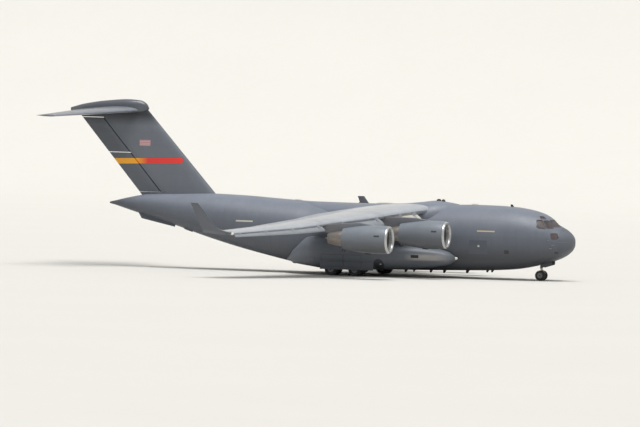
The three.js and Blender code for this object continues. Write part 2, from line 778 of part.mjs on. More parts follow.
// One flap hinge: the lug on the wing's fairing, and the arm and pin that hang from the flap
function flapHinge(a, b, y) {
  const hinge = FLAP_HINGE;
  const along = b.clone().sub(a).normalize();
  const middle = a.clone().lerp(b, (y * MM - a.y) / (b.y - a.y));
  const spot = (distance) => middle.clone().addScaledVector(along, distance * MM);
  const rise = 0.25 * straight(WING, "y", "thick", y) + 0.08;
  const lugOutline = [
    [-0.2, -hinge.ear],
    [hinge.ear, -hinge.ear],
    [hinge.ear, hinge.ear],
    [-0.2, hinge.ear],
  ];
  const armOutline = [
    [-0.022, -0.03],
    [0.03, -0.03],
    [0.25, rise],
    [0.01, rise],
    [-0.022, 0.02],
  ];
  const lug = hingePrism(spot(-hinge.lug), spot(hinge.lug), lugOutline, 0);
  const arm = hingePrism(spot(hinge.near), spot(hinge.far), armOutline, 0);
  const pin = rod(spot(-hinge.lug - PIN.spare), spot(hinge.near + PIN.spare), hinge.pin, PIN.sides);
  return { lug: lug.subtract(pinBore(spot(-0.1), spot(0.1), hinge.pin)), arm: arm.add(pin) };
}

// Slats

function slatRing(y) {
  const row = wingRow(y);
  const reach = SLAT_OUT.reach;
  const at = (x, side) => straight(AEROFOIL, "x", side, x) * row.thick;
  const outline = [
    [reach, at(reach, "up")],
    [0.1, at(0.1, "up")],
    [0.04, at(0.04, "up")],
    [0.012, at(0.012, "up")],
    [0, 0],
    [0.012, -at(0.012, "down")],
    [0.035, -at(0.035, "down")],
    [0.042, -0.1 * row.thick],
    [0.06, 0.13 * row.thick],
    [0.1, at(0.1, "up") - 0.06 * row.thick],
  ].map(([x, h]) => [x * row.chord, h]);
  const pivot = [reach * row.chord, at(reach, "up")];
  const turn = THREE.MathUtils.degToRad(SLAT_OUT.turn - row.twist);
  return outline.map(([x, h]) => {
    const dx = x - pivot[0];
    const dh = h - pivot[1];
    const px = pivot[0] + dx * Math.cos(turn) - dh * Math.sin(turn) - SLAT_OUT.forward * row.chord;
    const ph = pivot[1] + dh * Math.cos(turn) + dx * Math.sin(turn) - SLAT_OUT.down * row.chord;
    return point(row.lead + px, y, row.z + ph - SLAT_OUT.hang);
  });
}

function leadingEdge() {
  const noses = WING.map((row) => {
    const ring = [
      [NOSE_SPAR + 0.01, straight(AEROFOIL, "x", "up", NOSE_SPAR)],
      [NOSE_SPAR + 0.01, -straight(AEROFOIL, "x", "down", NOSE_SPAR)],
      [0.05, -0.25],
      [FIXED_NOSE, -0.12],
      [FIXED_NOSE - 0.006, 0.0],
      [FIXED_NOSE, 0.14],
      [0.05, 0.28],
    ];
    const angle = THREE.MathUtils.degToRad(row.twist);
    return ring.map(([x, t]) => {
      const along = (x - 0.25) * row.chord;
      const high = t * row.thick;
      const s = row.lead + 0.25 * row.chord + along * Math.cos(angle) + high * Math.sin(angle);
      return point(s, row.y, row.z - along * Math.sin(angle) + high * Math.cos(angle));
    });
  });
  const parts = [loft(noses)];
  for (const slat of SLATS) {
    parts.push(loft([slatRing(slat.from), slatRing(slat.to)]));
    const span = slat.to - slat.from;
    for (const share of [0.18, 0.82]) {
      const row = wingRow(slat.from + span * share);
      const outline = [
        [row.lead + 0.062 * row.chord, row.z + 0.2 * row.thick],
        [row.lead + 0.02 * row.chord, row.z + 0.16 * row.thick],
        [row.lead - 0.02 * row.chord, row.z - 0.02 * row.thick - SLAT_OUT.hang],
        [row.lead + 0.04 * row.chord, row.z - 0.1 * row.thick - SLAT_OUT.hang],
        [row.lead + 0.075 * row.chord, row.z - 0.1 * row.thick],
      ];
      parts.push(sidePlate(outline, row.y - 0.05, row.y + 0.05));
    }
  }
  return union(parts).subtract(hullGrown).intersect(aheadOfSpar.translate([SPAR_GAP * MM, 0, 0]));
}

function hingeFairing(y) {
  const row = wingRow(y);
  const low = row.z - 0.3 * row.thick;
  const s0 = row.lead + 0.45 * row.chord;
  const s1 = row.lead + FLAPS.inner.at * row.chord - 0.11;
  const drop = 0.09 * row.chord;
  const outline = [
    [s0, low + 0.1],
    [s0 + 0.4, low - drop * 0.45],
    [s1 - 0.5, low - drop],
    [s1, low - drop * 0.8],
    [s1, low + 0.12],
  ];
  return sidePlate(outline, y - FAIRING_HALF, y + FAIRING_HALF);
}

// Each section of the winglet leans over more than the one below it
function winglet() {
  return loft(
    WINGLET.map((row) =>
      aerofoilRing(row, 0, 1, 0).map((p) => {
        const high = p.z - row.z * MM;
        const y = row.y * MM - high * Math.sin(row.lean);
        return new THREE.Vector3(p.x, y, row.z * MM + high * Math.cos(row.lean));
      }),
    ),
  );
}

// Engines

function engineBody(spec) {
  const centre = point(spec.lip, spec.y, spec.z);
  const cowl = turned([...COWL_OUTER, ...COWL_INNER, COWL_OUTER[0]], COWL_SIDES, "aft", centre);
  const core = turned(CORE, CORE_SIDES, "aft", centre);
  const vanes = [];
  for (let i = 0; i < VANES; i++) {
    const vane = new THREE.BoxGeometry(0.4 * MM, 0.05 * MM, 0.62 * MM);
    vane.translate(0, 0, 0.77 * MM);
    vane.rotateX((2 * Math.PI * (i + 0.5)) / VANES);
    vane.translate(centre.x - 2.25 * MM, centre.y, centre.z);
    vanes.push(toSolid(vane));
  }
  const depth = FAN_SHAFT.end + PIN.spare;
  const mouth = point(spec.lip + depth / 2, spec.y, spec.z);
  const radius = boreRadius(FAN_SHAFT.radius, CORE_SIDES);
  const bore = cylinder(radius, depth, CORE_SIDES, "aft", mouth, Math.PI / CORE_SIDES);
  return union([cowl, core, ...vanes]).subtract(bore);
}

function engineFilled(spec, grow) {
  const centre = point(spec.lip, spec.y, spec.z);
  const grown = (rows) => rows.map((p) => ({ at: p.at, r: p.r + grow }));
  const cowlEnd = COWL_OUTER[COWL_OUTER.length - 1].at + grow;
  const coreRows = grown(CORE.slice(2, 5));
  const cowl = [{ at: 0, r: 0 }, ...grown(COWL_OUTER), { at: cowlEnd, r: 1 }, { at: cowlEnd, r: 0 }];
  const core = [{ at: CORE[2].at, r: 0 }, ...coreRows, { at: CORE[4].at + grow, r: 0 }];
  return turned(cowl, COWL_SIDES, "aft", centre).add(turned(core, CORE_SIDES, "aft", centre));
}

function fanBody(spec) {
  const centre = point(spec.lip, spec.y, spec.z);
  const hub = turned(
    [
      { at: FAN.spinner, r: 0 },
      { at: FAN.spinner + 0.06, r: 0.1 },
      { at: FAN.spinner + 0.3, r: 0.22 },
      { at: FAN.at, r: FAN.hub },
      { at: FAN.at + FAN.depth, r: FAN.hub + 0.06 },
      { at: FAN.back, r: FAN.hub + 0.06 },
      { at: FAN.back, r: FAN_SHAFT.radius },
      { at: FAN_SHAFT.end, r: FAN_SHAFT.radius },
      { at: FAN_SHAFT.end, r: 0 },
    ],
    CORE_SIDES,
    "aft",
    centre,
  );
  const blades = [];
  for (let i = 0; i < FAN.blades; i++) {
    const inner = [];
    const outer = [];
    for (const [along, across] of [
      [-0.11, -0.03],
      [0.11, -0.012],
      [0.11, 0.012],
      [-0.11, 0.0],
    ]) {
      inner.push(new THREE.Vector3((along * 0.8 + across) * MM, (across * 1.4 + along * 0.25) * MM, 0.3 * MM));
      outer.push(new THREE.Vector3(along * 0.75 * MM, (across + along * 0.8) * MM, FAN.tip * MM));
    }
    const turn = new THREE.Matrix4().makeRotationX((2 * Math.PI * i) / FAN.blades);
    const move = new THREE.Matrix4().makeTranslation(centre.x - (FAN.at + 0.12) * MM, centre.y, centre.z);
    const place = (p) => p.clone().applyMatrix4(turn).applyMatrix4(move);
    blades.push(loft([inner.map(place), outer.map(place)]));
  }
  return union([hub, ...blades]);
}

function pylonBody(spec) {
  const row = wingRow(spec.y);
  const lip = spec.lip;
  const z = spec.z;
  const lead = row.lead;
  const under = row.z - 0.3 * row.thick;
  const outline = [
    [lip + 1.25, z + 1.3],
    [lip + 3.2, z + 1.62],
    [lead + 0.02 * row.chord, row.z + 0.02],
    [lead + 0.5 * row.chord, row.z],
    [lead + 0.5 * row.chord, under - 0.1],
    [lip + 7.6, z + 0.78],
    [lip + 6.2, z + 0.45],
    [lip + 4.4, z + 0.7],
    [lip + 1.35, z + 1.1],
  ];
  const plate = sidePlate(outline, spec.y - 0.2, spec.y + 0.2);
  const shift = FIT * MM;
  return plate
    .subtract(engineFilled(spec, FIT))
    .subtract(wingGrown)
    .subtract(wingGrown.translate([0, 0, -shift]))
    .subtract(edge)
    .subtract(edge.translate([0, 0, -shift]))
    .subtract(edge.translate([shift, 0, 0]));
}

// Landing gear

// Each tyre stands on a flat, as a loaded tyre does
function wheelSet(station, y, tyre, offsets, axle) {
  const r = tyre.radius / Math.cos(Math.PI / WHEEL_SIDES);
  const w = tyre.width / 2;
  const rows = [{ at: offsets[0] - w - 0.03, r: 0 }, { at: offsets[0] - w - 0.03, r: axle }];
  for (const middle of offsets) {
    rows.push(
      { at: middle - w * 0.6, r: axle },
      { at: middle - w, r: r * 0.84 },
      { at: middle - w * 0.72, r },
      { at: middle + w * 0.72, r },
      { at: middle + w, r: r * 0.84 },
      { at: middle + w * 0.6, r: axle },
    );
  }
  const end = offsets[offsets.length - 1] + w + 0.03;
  rows.push({ at: end, r: axle }, { at: end, r: 0 });
  return turned(rows, WHEEL_SIDES, "across", point(station, y, tyre.radius), Math.PI / WHEEL_SIDES);
}

// The bore for a wheel set's axle, with its flats where the axle has its corners
function axleBore(axle, centre) {
  return cylinder(boreRadius(axle, WHEEL_SIDES), 3, WHEEL_SIDES, "across", centre);
}

function mainLeg(station, side) {
  const y = side * TRACK_HALF;
  const high = WELL.deck - FIT;
  const parts = [
    box(station - 0.16, station + 0.16, y - 0.5, y + 0.5, 1.36, 1.56),
    cylinder(0.17, high - 1.5, 10, "up", point(station, y, (high + 1.5) / 2)),
  ];
  for (const out of [-0.38, 0.38]) {
    parts.push(box(station - 0.14, station + 0.14, y + out - 0.045, y + out + 0.045, 0.5, 1.5));
    parts.push(cylinder(0.17, 0.09, 10, "across", point(station, y + out, MAIN_TYRE.radius)));
  }
  return union(parts).subtract(axleBore(MAIN_AXLE, point(station, y, MAIN_TYRE.radius)));
}

// The leg's fixed cylinder hangs from the bay roof. The turning part below carries the axle.
function noseLeg() {
  const top = NOSE_BAY.roof - NOSE_BAY.skin - FIT;
  const parts = [
    cylinder(0.14, top - NOSE_COLLAR, 18, "up", point(NOSE_GEAR, 0, (top + NOSE_COLLAR) / 2)),
    box(NOSE_GEAR - 0.1, NOSE_GEAR + 0.1, -NOSE_BAY.half + FIT, NOSE_BAY.half - FIT, 1.86, 2.02),
  ];
  const brace = sidePlate(
    [
      [NOSE_GEAR + 0.02, 1.42],
      [NOSE_GEAR + 0.02, 1.56],
      [NOSE_BAY.to - FIT, 2.0],
      [NOSE_BAY.to - FIT, 1.86],
    ],
    -0.06,
    0.06,
  );
  return union([...parts, brace]);
}

function noseFork() {
  const centre = point(NOSE_GEAR, 0, NOSE_TYRE.radius);
  const low = 0.42;
  const high = NOSE_COLLAR - FIT;
  const parts = [
    cylinder(0.1, high - low, 18, "up", point(NOSE_GEAR, 0, (high + low) / 2)),
    cylinder(0.16, 0.1, 18, "up", point(NOSE_GEAR, 0, high - 0.05)),
    cylinder(0.12, 0.24, 16, "across", centre),
    box(NOSE_GEAR - TOW_LUG.reach, NOSE_GEAR, -TOW_LUG.half, TOW_LUG.half, TOW_LUG.low, TOW_LUG.high),
    sidePlate(
      [
        [NOSE_GEAR, 1.05],
        [NOSE_GEAR, 1.2],
        [NOSE_GEAR - 0.3, 0.96],
        [NOSE_GEAR - 0.3, 0.86],
        [NOSE_GEAR, 0.62],
        [NOSE_GEAR, 0.78],
        [NOSE_GEAR - 0.2, 0.91],
      ],
      -0.04,
      0.04,
    ),
  ];
  return union(parts).subtract(axleBore(NOSE_AXLE, centre));
}

function podBody() {
  const rings = POD.map((row) => {
    const ring = [];
    const middle = (row.bottom + row.top) / 2;
    const tall = (row.top - row.bottom) / 2;
    const root = row.inner + 0.35;
    for (let i = 0; i <= 12; i++) {
      const angle = -Math.PI / 2 + (Math.PI * i) / 12;
      const across = Math.cos(angle) ** (2 / 3.2);
      const rise = Math.sign(Math.sin(angle)) * Math.abs(Math.sin(angle)) ** (2 / 3.2);
      ring.push(point(row.station, root + (row.out - root) * across, middle + tall * rise));
    }
    ring.push(point(row.station, row.inner, row.top), point(row.station, row.inner, row.bottom));
    return ring;
  });
  const solid = loft(rings).subtract(hullGrown);
  const well = box(WELL.from, WELL.to, WELL.inner, WELL.outer, 0, WELL.deck);
  const door = POD_DOOR;
  const plate = box(door.from, door.to, door.near, door.far, door.low, door.high);
  return solid.subtract(well).add(plate);
}

// Tail

function finRing(row) {
  const half = AEROFOIL.map((p) => [p.x, (p.up + p.down) / 2]);
  const ring = [];
  for (const [x, t] of half) ring.push(point(row.lead + x * row.chord, t * row.thick, row.z));
  for (const [x, t] of half.slice(1).reverse()) {
    ring.push(point(row.lead + x * row.chord, -t * row.thick, row.z));
  }
  return ring;
}

function bulletBody(grow) {
  return loft(
    BULLET.map((row) =>
      ovalRing(row.station, row.half + grow, row.bottom - grow, row.top + grow, 14, 2.2, 2.2),
    ),
  );
}

// The rudders' hinge line, straight on below the fin's root
function rudderLine(z) {
  const rows = FIN.slice(1);
  return point(straight(rows, "z", "lead", z) + RUDDER.at * straight(rows, "z", "chord", z), 0, z);
}

// Assembly

const parts = [];
const add = (name, solid, colour, roughness, metalness) =>
  parts.push({ name, solid, colour, roughness, metalness });

const GREY = 0x6f757b;
const DARK_GREY = 0x54585d;
const METAL = 0x9a9a98;
const TYRE = 0x1c1c1d;
const GLASS = 0x2a2f33;
const WHITE = 0xd8d8d2;

// The port wing and the surfaces that move on it
const surfaces = {};
let wing = wingFull.subtract(aheadOfSpar);
const wingLugs = [];
for (const [name, flap] of Object.entries(FLAPS)) {
  const a = onWing(WING, flap.from, flap.at, FLAP_PIVOT);
  const b = onWing(WING, flap.to, flap.at, FLAP_PIVOT);
  const cut = control(wing, a, b, 0);
  wing = cut.fixed;
  surfaces[name] = cut.moving;
  for (const y of HINGE_FAIRINGS.filter((spot) => spot > flap.from && spot < flap.to)) {
    const hinge = flapHinge(a, b, y);
    wingLugs.push(hinge.lug);
    surfaces[name] = surfaces[name].add(hinge.arm);
  }
}
const aileronIn = onWing(WING, AILERON.from, AILERON.at, AILERON_LIFT);
const aileronOut = onWing(WING, AILERON.to, AILERON.at, AILERON_LIFT);
const aileronCut = pinEnds(
  control(wing, aileronIn, aileronOut, AILERON.travel + 4),
  aileronIn,
  aileronOut,
);
wing = union([aileronCut.fixed, ...HINGE_FAIRINGS.map(hingeFairing), ...wingLugs, winglet()]);
wing = wing.subtract(hullGrown);
const edge = leadingEdge();

const fairing = loft(
  [
    [12.0, 0.8, 7.26],
    [13.0, 2.2, 7.42],
    [14.3, 3.15, 7.55],
    [15.6, 3.4, 7.4],
    [18, 3.5, 7.16],
    [22, 3.5, 7.08],
    [27, 2.9, 7.11],
    [29, 1.2, 7.2],
  ].map(([s, half, top]) => ovalRing(s, half, 5.5, top, 14, 2.6, 2.6)),
)
  .subtract(hullGrown)
  .subtract(wingGrown)
  .subtract(mirrorY(wingGrown))
  .subtract(edge)
  .subtract(mirrorY(edge));

// Fin, rudders and tailplane
let fin = loft(FIN.map(finRing));
const rudders = [];
for (const { low, high } of RUDDER.spans) {
  const a = rudderLine(low);
  const b = rudderLine(high);
  const along = b.clone().sub(a).normalize();
  const aftWay = new THREE.Vector3(-1, 0, 0).addScaledVector(along, along.x).normalize();
  const prism = (outline) => {
    const ring = (base) =>
      outline.map(([x, y]) => {
        const spot = base.clone().addScaledVector(aftWay, x * MM);
        return spot.setY(y * MM);
      });
    const below = a.clone().addScaledVector(along, -3 * MM);
    const above = b.clone().addScaledVector(along, 3 * MM);
    return loft([ring(below), ring(above)]);
  };
  const level = (z0, z1) => box(35, 60, -2, 2, z0, z1);
  const bevel = 0.8 * Math.tan(THREE.MathUtils.degToRad(RUDDER.travel + 3));
  const hole = prism([
    [-CONTROL_GAP, -0.8],
    [-CONTROL_GAP, 0.8],
    [4, 0.8],
    [4, -0.8],
  ]);
  const blade = prism([
    [0, 0],
    [bevel, 0.8],
    [4, 0.8],
    [4, -0.8],
    [bevel, -0.8],
  ]);
  rudders.push(fin.intersect(blade).intersect(level(low, high)));
  fin = fin.subtract(hole.intersect(level(low - RUDDER.under, high + RUDDER.over)));
}

// Lugs on the fin's rear face carry the rudders' pins
function rudderLug({ low, high }) {
  const ring = (z) => {
    const spot = rudderLine(z);
    return [
      [0.2, -0.035],
      [-0.035, -0.035],
      [-0.035, 0.035],
      [0.2, 0.035],
    ].map(([x, y]) => new THREE.Vector3(spot.x + x * MM, y * MM, spot.z));
  };
  return loft([ring(low), ring(high)]);
}

fin = union([fin, ...RUDDER_LUGS.map(rudderLug)]);
for (const { of, from, to } of RUDDER_PINS) {
  const a = rudderLine(from);
  const b = rudderLine(to);
  const end = rudderLine(to + Math.sign(to - from) * PIN.spare);
  rudders[of] = rudders[of].add(rod(a, b, PIN.radius, PIN.sides));
  fin = fin.subtract(pinBore(a, end, PIN.radius));
}
const halfTail = loft(TAILPLANE.map((row) => aerofoilRing(row, 0, 1, 0)));
const tailLowered = halfTail.translate([0, 0, -FIT * MM]);
fin = fin
  .subtract(hullGrown)
  .subtract(bulletBody(FIT))
  .subtract(tailLowered)
  .subtract(mirrorY(tailLowered));

const tailIn = onWing(TAILPLANE, ELEVATOR.from, ELEVATOR.at, AILERON_LIFT);
const tailOut = onWing(TAILPLANE, ELEVATOR.to, ELEVATOR.at, AILERON_LIFT);
const tailCut = pinEnds(
  control(halfTail, tailIn, tailOut, ELEVATOR.travel + 4),
  tailIn,
  tailOut,
);
const tailplane = union([tailCut.fixed, mirrorY(tailCut.fixed), bulletBody(0)]);

// Main assembly list
add("radome", radome, 0x666c72, 0.6, 0);
add("nose_section", noseSection, GREY, 0.6, 0);
add("fuselage_forward", forward, GREY, 0.6, 0);
add("fuselage_centre", centre, GREY, 0.6, 0);
add("fuselage_aft", aft, GREY, 0.6, 0);
add("cockpit_glazing", glazing, GLASS, 0.1, 0);
add("flight_deck", flightDeck(), DARK_GREY, 0.8, 0);
add("hold_floor", holdFloor, DARK_GREY, 0.7, 0.1);
add("loading_ramp", ramp, GREY, 0.6, 0);
add("cargo_door", cargoDoor, GREY, 0.6, 0);
add("crew_door", crewDoor, GREY, 0.6, 0);
add("wing_root_fairing", fairing, 0x7b8187, 0.6, 0);
add("fin", fin, GREY, 0.6, 0);
add("rudder_lower", rudders[0], GREY, 0.6, 0);
add("rudder_upper", rudders[1], GREY, 0.6, 0);
add("tailplane", tailplane, GREY, 0.6, 0);
add("nose_leg", noseLeg(), WHITE, 0.4, 0.2);
add("nose_fork", noseFork(), WHITE, 0.4, 0.2);
add(
  "nose_wheels",
  wheelSet(NOSE_GEAR, 0, NOSE_TYRE, [-NOSE_TYRE.pitch / 2, NOSE_TYRE.pitch / 2], NOSE_AXLE),
  TYRE,
  0.9,
  0,
);

// Each side of the aeroplane. The solids are made for port and mirrored for starboard.
const SIDES = [
  { name: "right", sign: -1 },
  { name: "left", sign: 1 },
];
const pod = podBody();
for (const { name, sign } of SIDES) {
  const onSide = (solid) => (sign > 0 ? solid : mirrorY(solid));
  add("wing_" + name, onSide(wing), 0x868c92, 0.55, 0);
  add("leading_edge_" + name, onSide(edge), 0x9499a0, 0.5, 0.1);
  add("flap_inner_" + name, onSide(surfaces.inner), 0x80868c, 0.55, 0);
  add("flap_outer_" + name, onSide(surfaces.outer), 0x80868c, 0.55, 0);
  add("aileron_" + name, onSide(aileronCut.moving), 0x80868c, 0.55, 0);
  add("elevator_" + name, onSide(tailCut.moving), GREY, 0.6, 0);
  add("gear_pod_" + name, onSide(pod), GREY, 0.6, 0);
  add("nose_gear_door_" + name, onSide(noseDoor()), GREY, 0.6, 0);
  for (const [row, station] of Object.entries(MAIN_ROWS)) {
    const offsets = [-MAIN_TYRE.pitch, 0, MAIN_TYRE.pitch];
    add("main_leg_" + row + "_" + name, mainLeg(station, sign), WHITE, 0.4, 0.2);
    add(
      "main_wheels_" + row + "_" + name,
      wheelSet(station, sign * TRACK_HALF, MAIN_TYRE, offsets, MAIN_AXLE),
      TYRE,
      0.9,
      0,
    );
  }
  for (const [place, spec] of Object.entries(ENGINES)) {
    add("engine_" + place + "_" + name, onSide(engineBody(spec)), GREY, 0.5, 0.2);
    add("fan_" + place + "_" + name, onSide(fanBody(spec)), METAL, 0.35, 0.8);
    add("pylon_" + place + "_" + name, onSide(pylonBody(spec)), GREY, 0.6, 0);
  }
}

function toMesh({ name, solid, colour, roughness, metalness }) {
  const made = solid.getMesh();
  const positions = new Float32Array(made.numVert * 3);
  for (let i = 0; i < made.numVert; i++) {
    positions.set(made.vertProperties.subarray(i * made.numProp, i * made.numProp + 3), i * 3);
  }
  const geometry = new THREE.BufferGeometry();
  geometry.setAttribute("position", new THREE.BufferAttribute(positions, 3));
  geometry.setIndex(new THREE.BufferAttribute(made.triVerts, 1));
  geometry.computeVertexNormals();
  const material = new THREE.MeshStandardMaterial({ color: colour, roughness, metalness });
  const mesh = new THREE.Mesh(geometry, material);
  mesh.name = name;
  return mesh;
}

const aeroplane = new THREE.Group();
aeroplane.name = "transport_aeroplane";
for (const part of parts) aeroplane.add(toMesh(part));

export default aeroplane;
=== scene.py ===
"""Half-size model of a four-engined military transport aeroplane: its looks.

Sizes are in metres of the full-size aeroplane, and place() turns them into model metres.
A station is the distance aft of the nose tip. The model has +X to the nose, +Y to port, +Z up.
"""
import math

import bpy
import bmesh
from mathutils import Matrix, Vector


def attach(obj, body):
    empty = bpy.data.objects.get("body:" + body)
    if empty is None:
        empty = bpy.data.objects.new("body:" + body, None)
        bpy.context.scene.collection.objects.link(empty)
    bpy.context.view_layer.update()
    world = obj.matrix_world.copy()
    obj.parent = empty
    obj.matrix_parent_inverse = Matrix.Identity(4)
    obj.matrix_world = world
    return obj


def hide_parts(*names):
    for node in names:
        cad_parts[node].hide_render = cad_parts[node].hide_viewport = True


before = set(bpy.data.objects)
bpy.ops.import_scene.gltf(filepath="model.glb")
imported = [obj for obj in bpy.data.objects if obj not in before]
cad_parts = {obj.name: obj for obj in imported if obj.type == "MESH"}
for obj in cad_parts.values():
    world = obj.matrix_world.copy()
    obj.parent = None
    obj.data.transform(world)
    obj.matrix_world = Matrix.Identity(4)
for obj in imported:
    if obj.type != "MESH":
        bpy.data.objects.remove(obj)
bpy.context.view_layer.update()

# Driving sizes, the same as in the part's source
SCALE = 0.5
LENGTH = 53.04
WALL = 0.12
RADOME_END = 1.2
NOSE_END = 5.0
FORWARD_END = 12.9
CENTRE_END = 28.4
HULL_END = 48.6
LOWER_SQUARENESS = 2.7
UPPER_SQUARENESS = 2.06


def table(columns, *rows):
    names = columns.split()
    return [dict(zip(names, row)) for row in rows]


HULL = table(
    "station half bottom top",
    (0.0, 0.16, 3.7, 4.02),
    (0.1, 0.55, 3.33, 4.34),
    (0.4, 1.08, 2.9, 4.72),
    (0.9, 1.58, 2.5, 5.1),
    (1.5, 1.99, 2.18, 5.42),
    (1.95, 2.22, 2.0, 5.72),
    (2.5, 2.46, 1.82, 6.22),
    (3.3, 2.73, 1.58, 6.62),
    (4.4, 2.98, 1.3, 6.92),
    (6.0, 3.18, 1.03, 7.15),
    (8.0, 3.27, 0.88, 7.24),
    (10.0, 3.3, 0.8, 7.26),
    (18.0, 3.3, 0.62, 6.95),
    (26.5, 3.3, 0.62, 6.95),
    (28.4, 3.28, 0.96, 7.15),
    (31.0, 3.2, 1.5, 7.31),
    (34.5, 2.98, 2.3, 7.5),
    (38.0, 2.56, 3.24, 7.58),
    (41.5, 1.98, 4.32, 7.46),
    (44.5, 1.36, 5.14, 7.32),
    (46.8, 0.8, 5.8, 6.9),
    (48.0, 0.42, 6.14, 6.6),
    (48.6, 0.18, 6.28, 6.46),
)
PANE_POST = 4.6
# Corners of each flight deck window, one side: angle off the nose line and height
PANES = {
    "front": [(2.5, 5.37), (24, 5.35), (23.4, 5.93), (2.5, 5.98)],
    "middle": [(26.5, 5.22), (41, 5.2), (41, 5.93), (26.5, 5.9)],
    "side": [(43.5, 5.14), (61, 5.3), (58, 5.98), (43.5, 5.96)],
    "brow": [(30, 6.12), (46, 6.12), (44, 6.32), (31, 6.3)],
    "chin": [(26, 4.2), (36.5, 4.15), (37, 4.68), (26.5, 4.7)],
}
RAMP = {"start": 28.5, "end": 34.4, "half": 2.2, "depth": 0.34, "clear": 1.3}
HINGE = {"drop": 0.03, "pin": 0.015, "lug": 0.035, "root": 0.13, "near": 1.0, "middle": 1.1, "far": 1.2}
CARGO_DOOR = {"start": 34.5, "end": 40.2, "half": 1.6, "clear": 1.1, "pivot": 1.14}
DOOR_ARM = {"start": 39.3, "near": 1.34, "far": 1.44, "pin": 0.04, "reach": 1.8, "boss": 0.1}
CREW_DOOR = {"start": 5.3, "end": 6.35, "low": 2.1, "high": 4.0, "near": 1.5, "far": 5}
DOOR_GAP = 0.012
NOSE_GEAR = 3.35
NOSE_TYRE = {"radius": 0.508, "width": 0.4, "pitch": 0.74}
BAY = {"start": 2.1, "end": 4.35, "half": 0.62, "roof": 2.5, "skin": 0.05}
NOSE_DOOR = {"start": 2.15, "end": 3.25, "hang": 0.34, "tuck": 0.3, "thick": 0.035}
MAIN_ROWS = {"front": 20.95, "rear": 23.4}
TRACK_HALF = 4.4
MAIN_TYRE = {"radius": 0.635, "width": 0.52, "pitch": 0.76}
POD = table(
    "station inner out bottom top",
    (11.0, 2.0, 3.5, 1.7, 2.3),
    (12.5, 2.0, 4.15, 1.25, 2.8),
    (14.5, 2.0, 4.8, 0.95, 3.15),
    (17.5, 2.0, 5.35, 0.72, 3.45),
    (20.0, 2.0, 5.7, 0.62, 3.65),
    (24.6, 2.0, 5.72, 0.6, 3.8),
    (26.2, 2.1, 5.3, 0.78, 3.75),
    (27.4, 2.25, 4.7, 0.95, 2.8),
    (28.8, 2.45, 3.4, 1.2, 1.55),
)
WELL = {"start": 20.0, "end": 24.4, "inner": 3.3, "outer": 5.5, "deck": 1.75}
POD_DOOR = (18.95, 24.45, 5.5, 5.57, 0.6, 2.0)
WING = table(
    "y lead chord z thick twist",
    (2.2, 14.0, 11.5, 6.5, 1.25, 3.5),
    (3.4, 14.65, 10.9, 6.42, 1.2, 3.4),
    (9.6, 18.1, 7.8, 5.72, 0.85, 2.4),
    (17.5, 22.6, 5.2, 4.88, 0.56, 1.2),
    (25.2, 26.95, 2.9, 4.35, 0.3, 0.2),
)
WINGLET = table(
    "row y lead chord z thick lean",
    (0, 25.2, 26.95, 2.9, 4.35, 0.3, 0),
    (1, 25.52, 28.1, 1.75, 4.75, 0.2, 0.75),
    (2, 25.87, 30.2, 0.72, 7.2, 0.08, 1.35),
)
AEROFOIL = table(
    "x up down",
    (0.0, 0.0, 0.0),
    (0.012, 0.17, 0.15),
    (0.04, 0.3, 0.26),
    (0.1, 0.43, 0.38),
    (0.22, 0.54, 0.45),
    (0.38, 0.56, 0.44),
    (0.55, 0.48, 0.35),
    (0.72, 0.33, 0.2),
    (0.87, 0.17, 0.08),
    (1.0, 0.035, 0.015),
)
NOSE_SPAR = 0.09
SLATS = [(3.75, 6.45), (8.15, 13.15), (14.85, 24.75)]
SLAT_OUT = {"forward": 0.055, "down": 0.028, "hang": 0.12, "turn": 24, "reach": 0.135}
FLAPS = {"inner": (3.95, 9.15), "outer": (9.95, 17.3)}
FLAP_SHARE = 0.74
FLAP_PIVOT = -0.42
AILERON = {"inner": 17.75, "outer": 24.4, "share": 0.76, "travel": 22}
HINGE_FAIRINGS = [4.6, 8.5, 12.6, 16.6]
FLAP_HINGE = {"pin": 0.015, "ear": 0.035, "lug": 0.03, "near": 0.036, "far": 0.09}
SURFACE_LIFT = 0.05
PIN = {"radius": 0.011, "overlap": 0.05, "reach": 0.06}
CONTROL_GAP = 0.014
ENGINES = {
    "inboard": {"y": 7.25, "lip": 10.85, "z": 4.35},
    "outboard": {"y": 14.1, "lip": 14.5, "z": 3.9},
}
COWL_OUTER = table(
    "at r",
    (0.25, 1.335),
    (0.6, 1.37),
    (1.2, 1.39),
    (2.3, 1.36),
    (3.6, 1.21),
    (4.75, 1.03),
)
COWL_INNER = table("at r", (0.25, 1.045), (0.8, 1.0), (2.2, 1.06), (3.4, 1.08), (4.75, 1.0))
CORE = table("at r", (1.8, 0.5), (2.6, 0.66), (3.6, 0.8), (4.9, 0.78), (5.6, 0.69), (6.3, 0.55))
PLUG = table("at r", (5.4, 0.33), (5.8, 0.28), (6.3, 0.16), (6.6, 0.05), (6.72, 0.0))
FAN = {"at": 1.35, "depth": 0.24, "tip": 0.96, "hub": 0.34, "blades": 30, "spinner": 0.62, "back": 1.768}
FIN = table(
    "z lead chord thick",
    (6.9, 36.8, 8.2, 1.06),
    (7.55, 37.42, 8.09, 0.98),
    (15.9, 44.94, 7.72, 0.62),
)
RUDDER = {
    "share": 0.7,
    "travel": 22,
    "over": 0.12,
    "under": {"lower": 0.02, "upper": 0.1},
    "rise": {"lower": 0.115, "upper": 0.07},
}
RUDDER_SPANS = {"lower": (7.56, 11.3), "upper": (11.47, 14.8)}
RUDDER_LUGS = [(7.4, 7.535), (11.345, 11.425), (14.835, 14.98)]
RUDDER_PINS = [
    ("lower", 7.61, 7.45),
    ("lower", 11.25, 11.38),
    ("upper", 11.52, 11.39),
    ("upper", 14.75, 14.94),
]
STRAKE = {"y": 0.95, "lean": 0.22, "thick": 0.06}
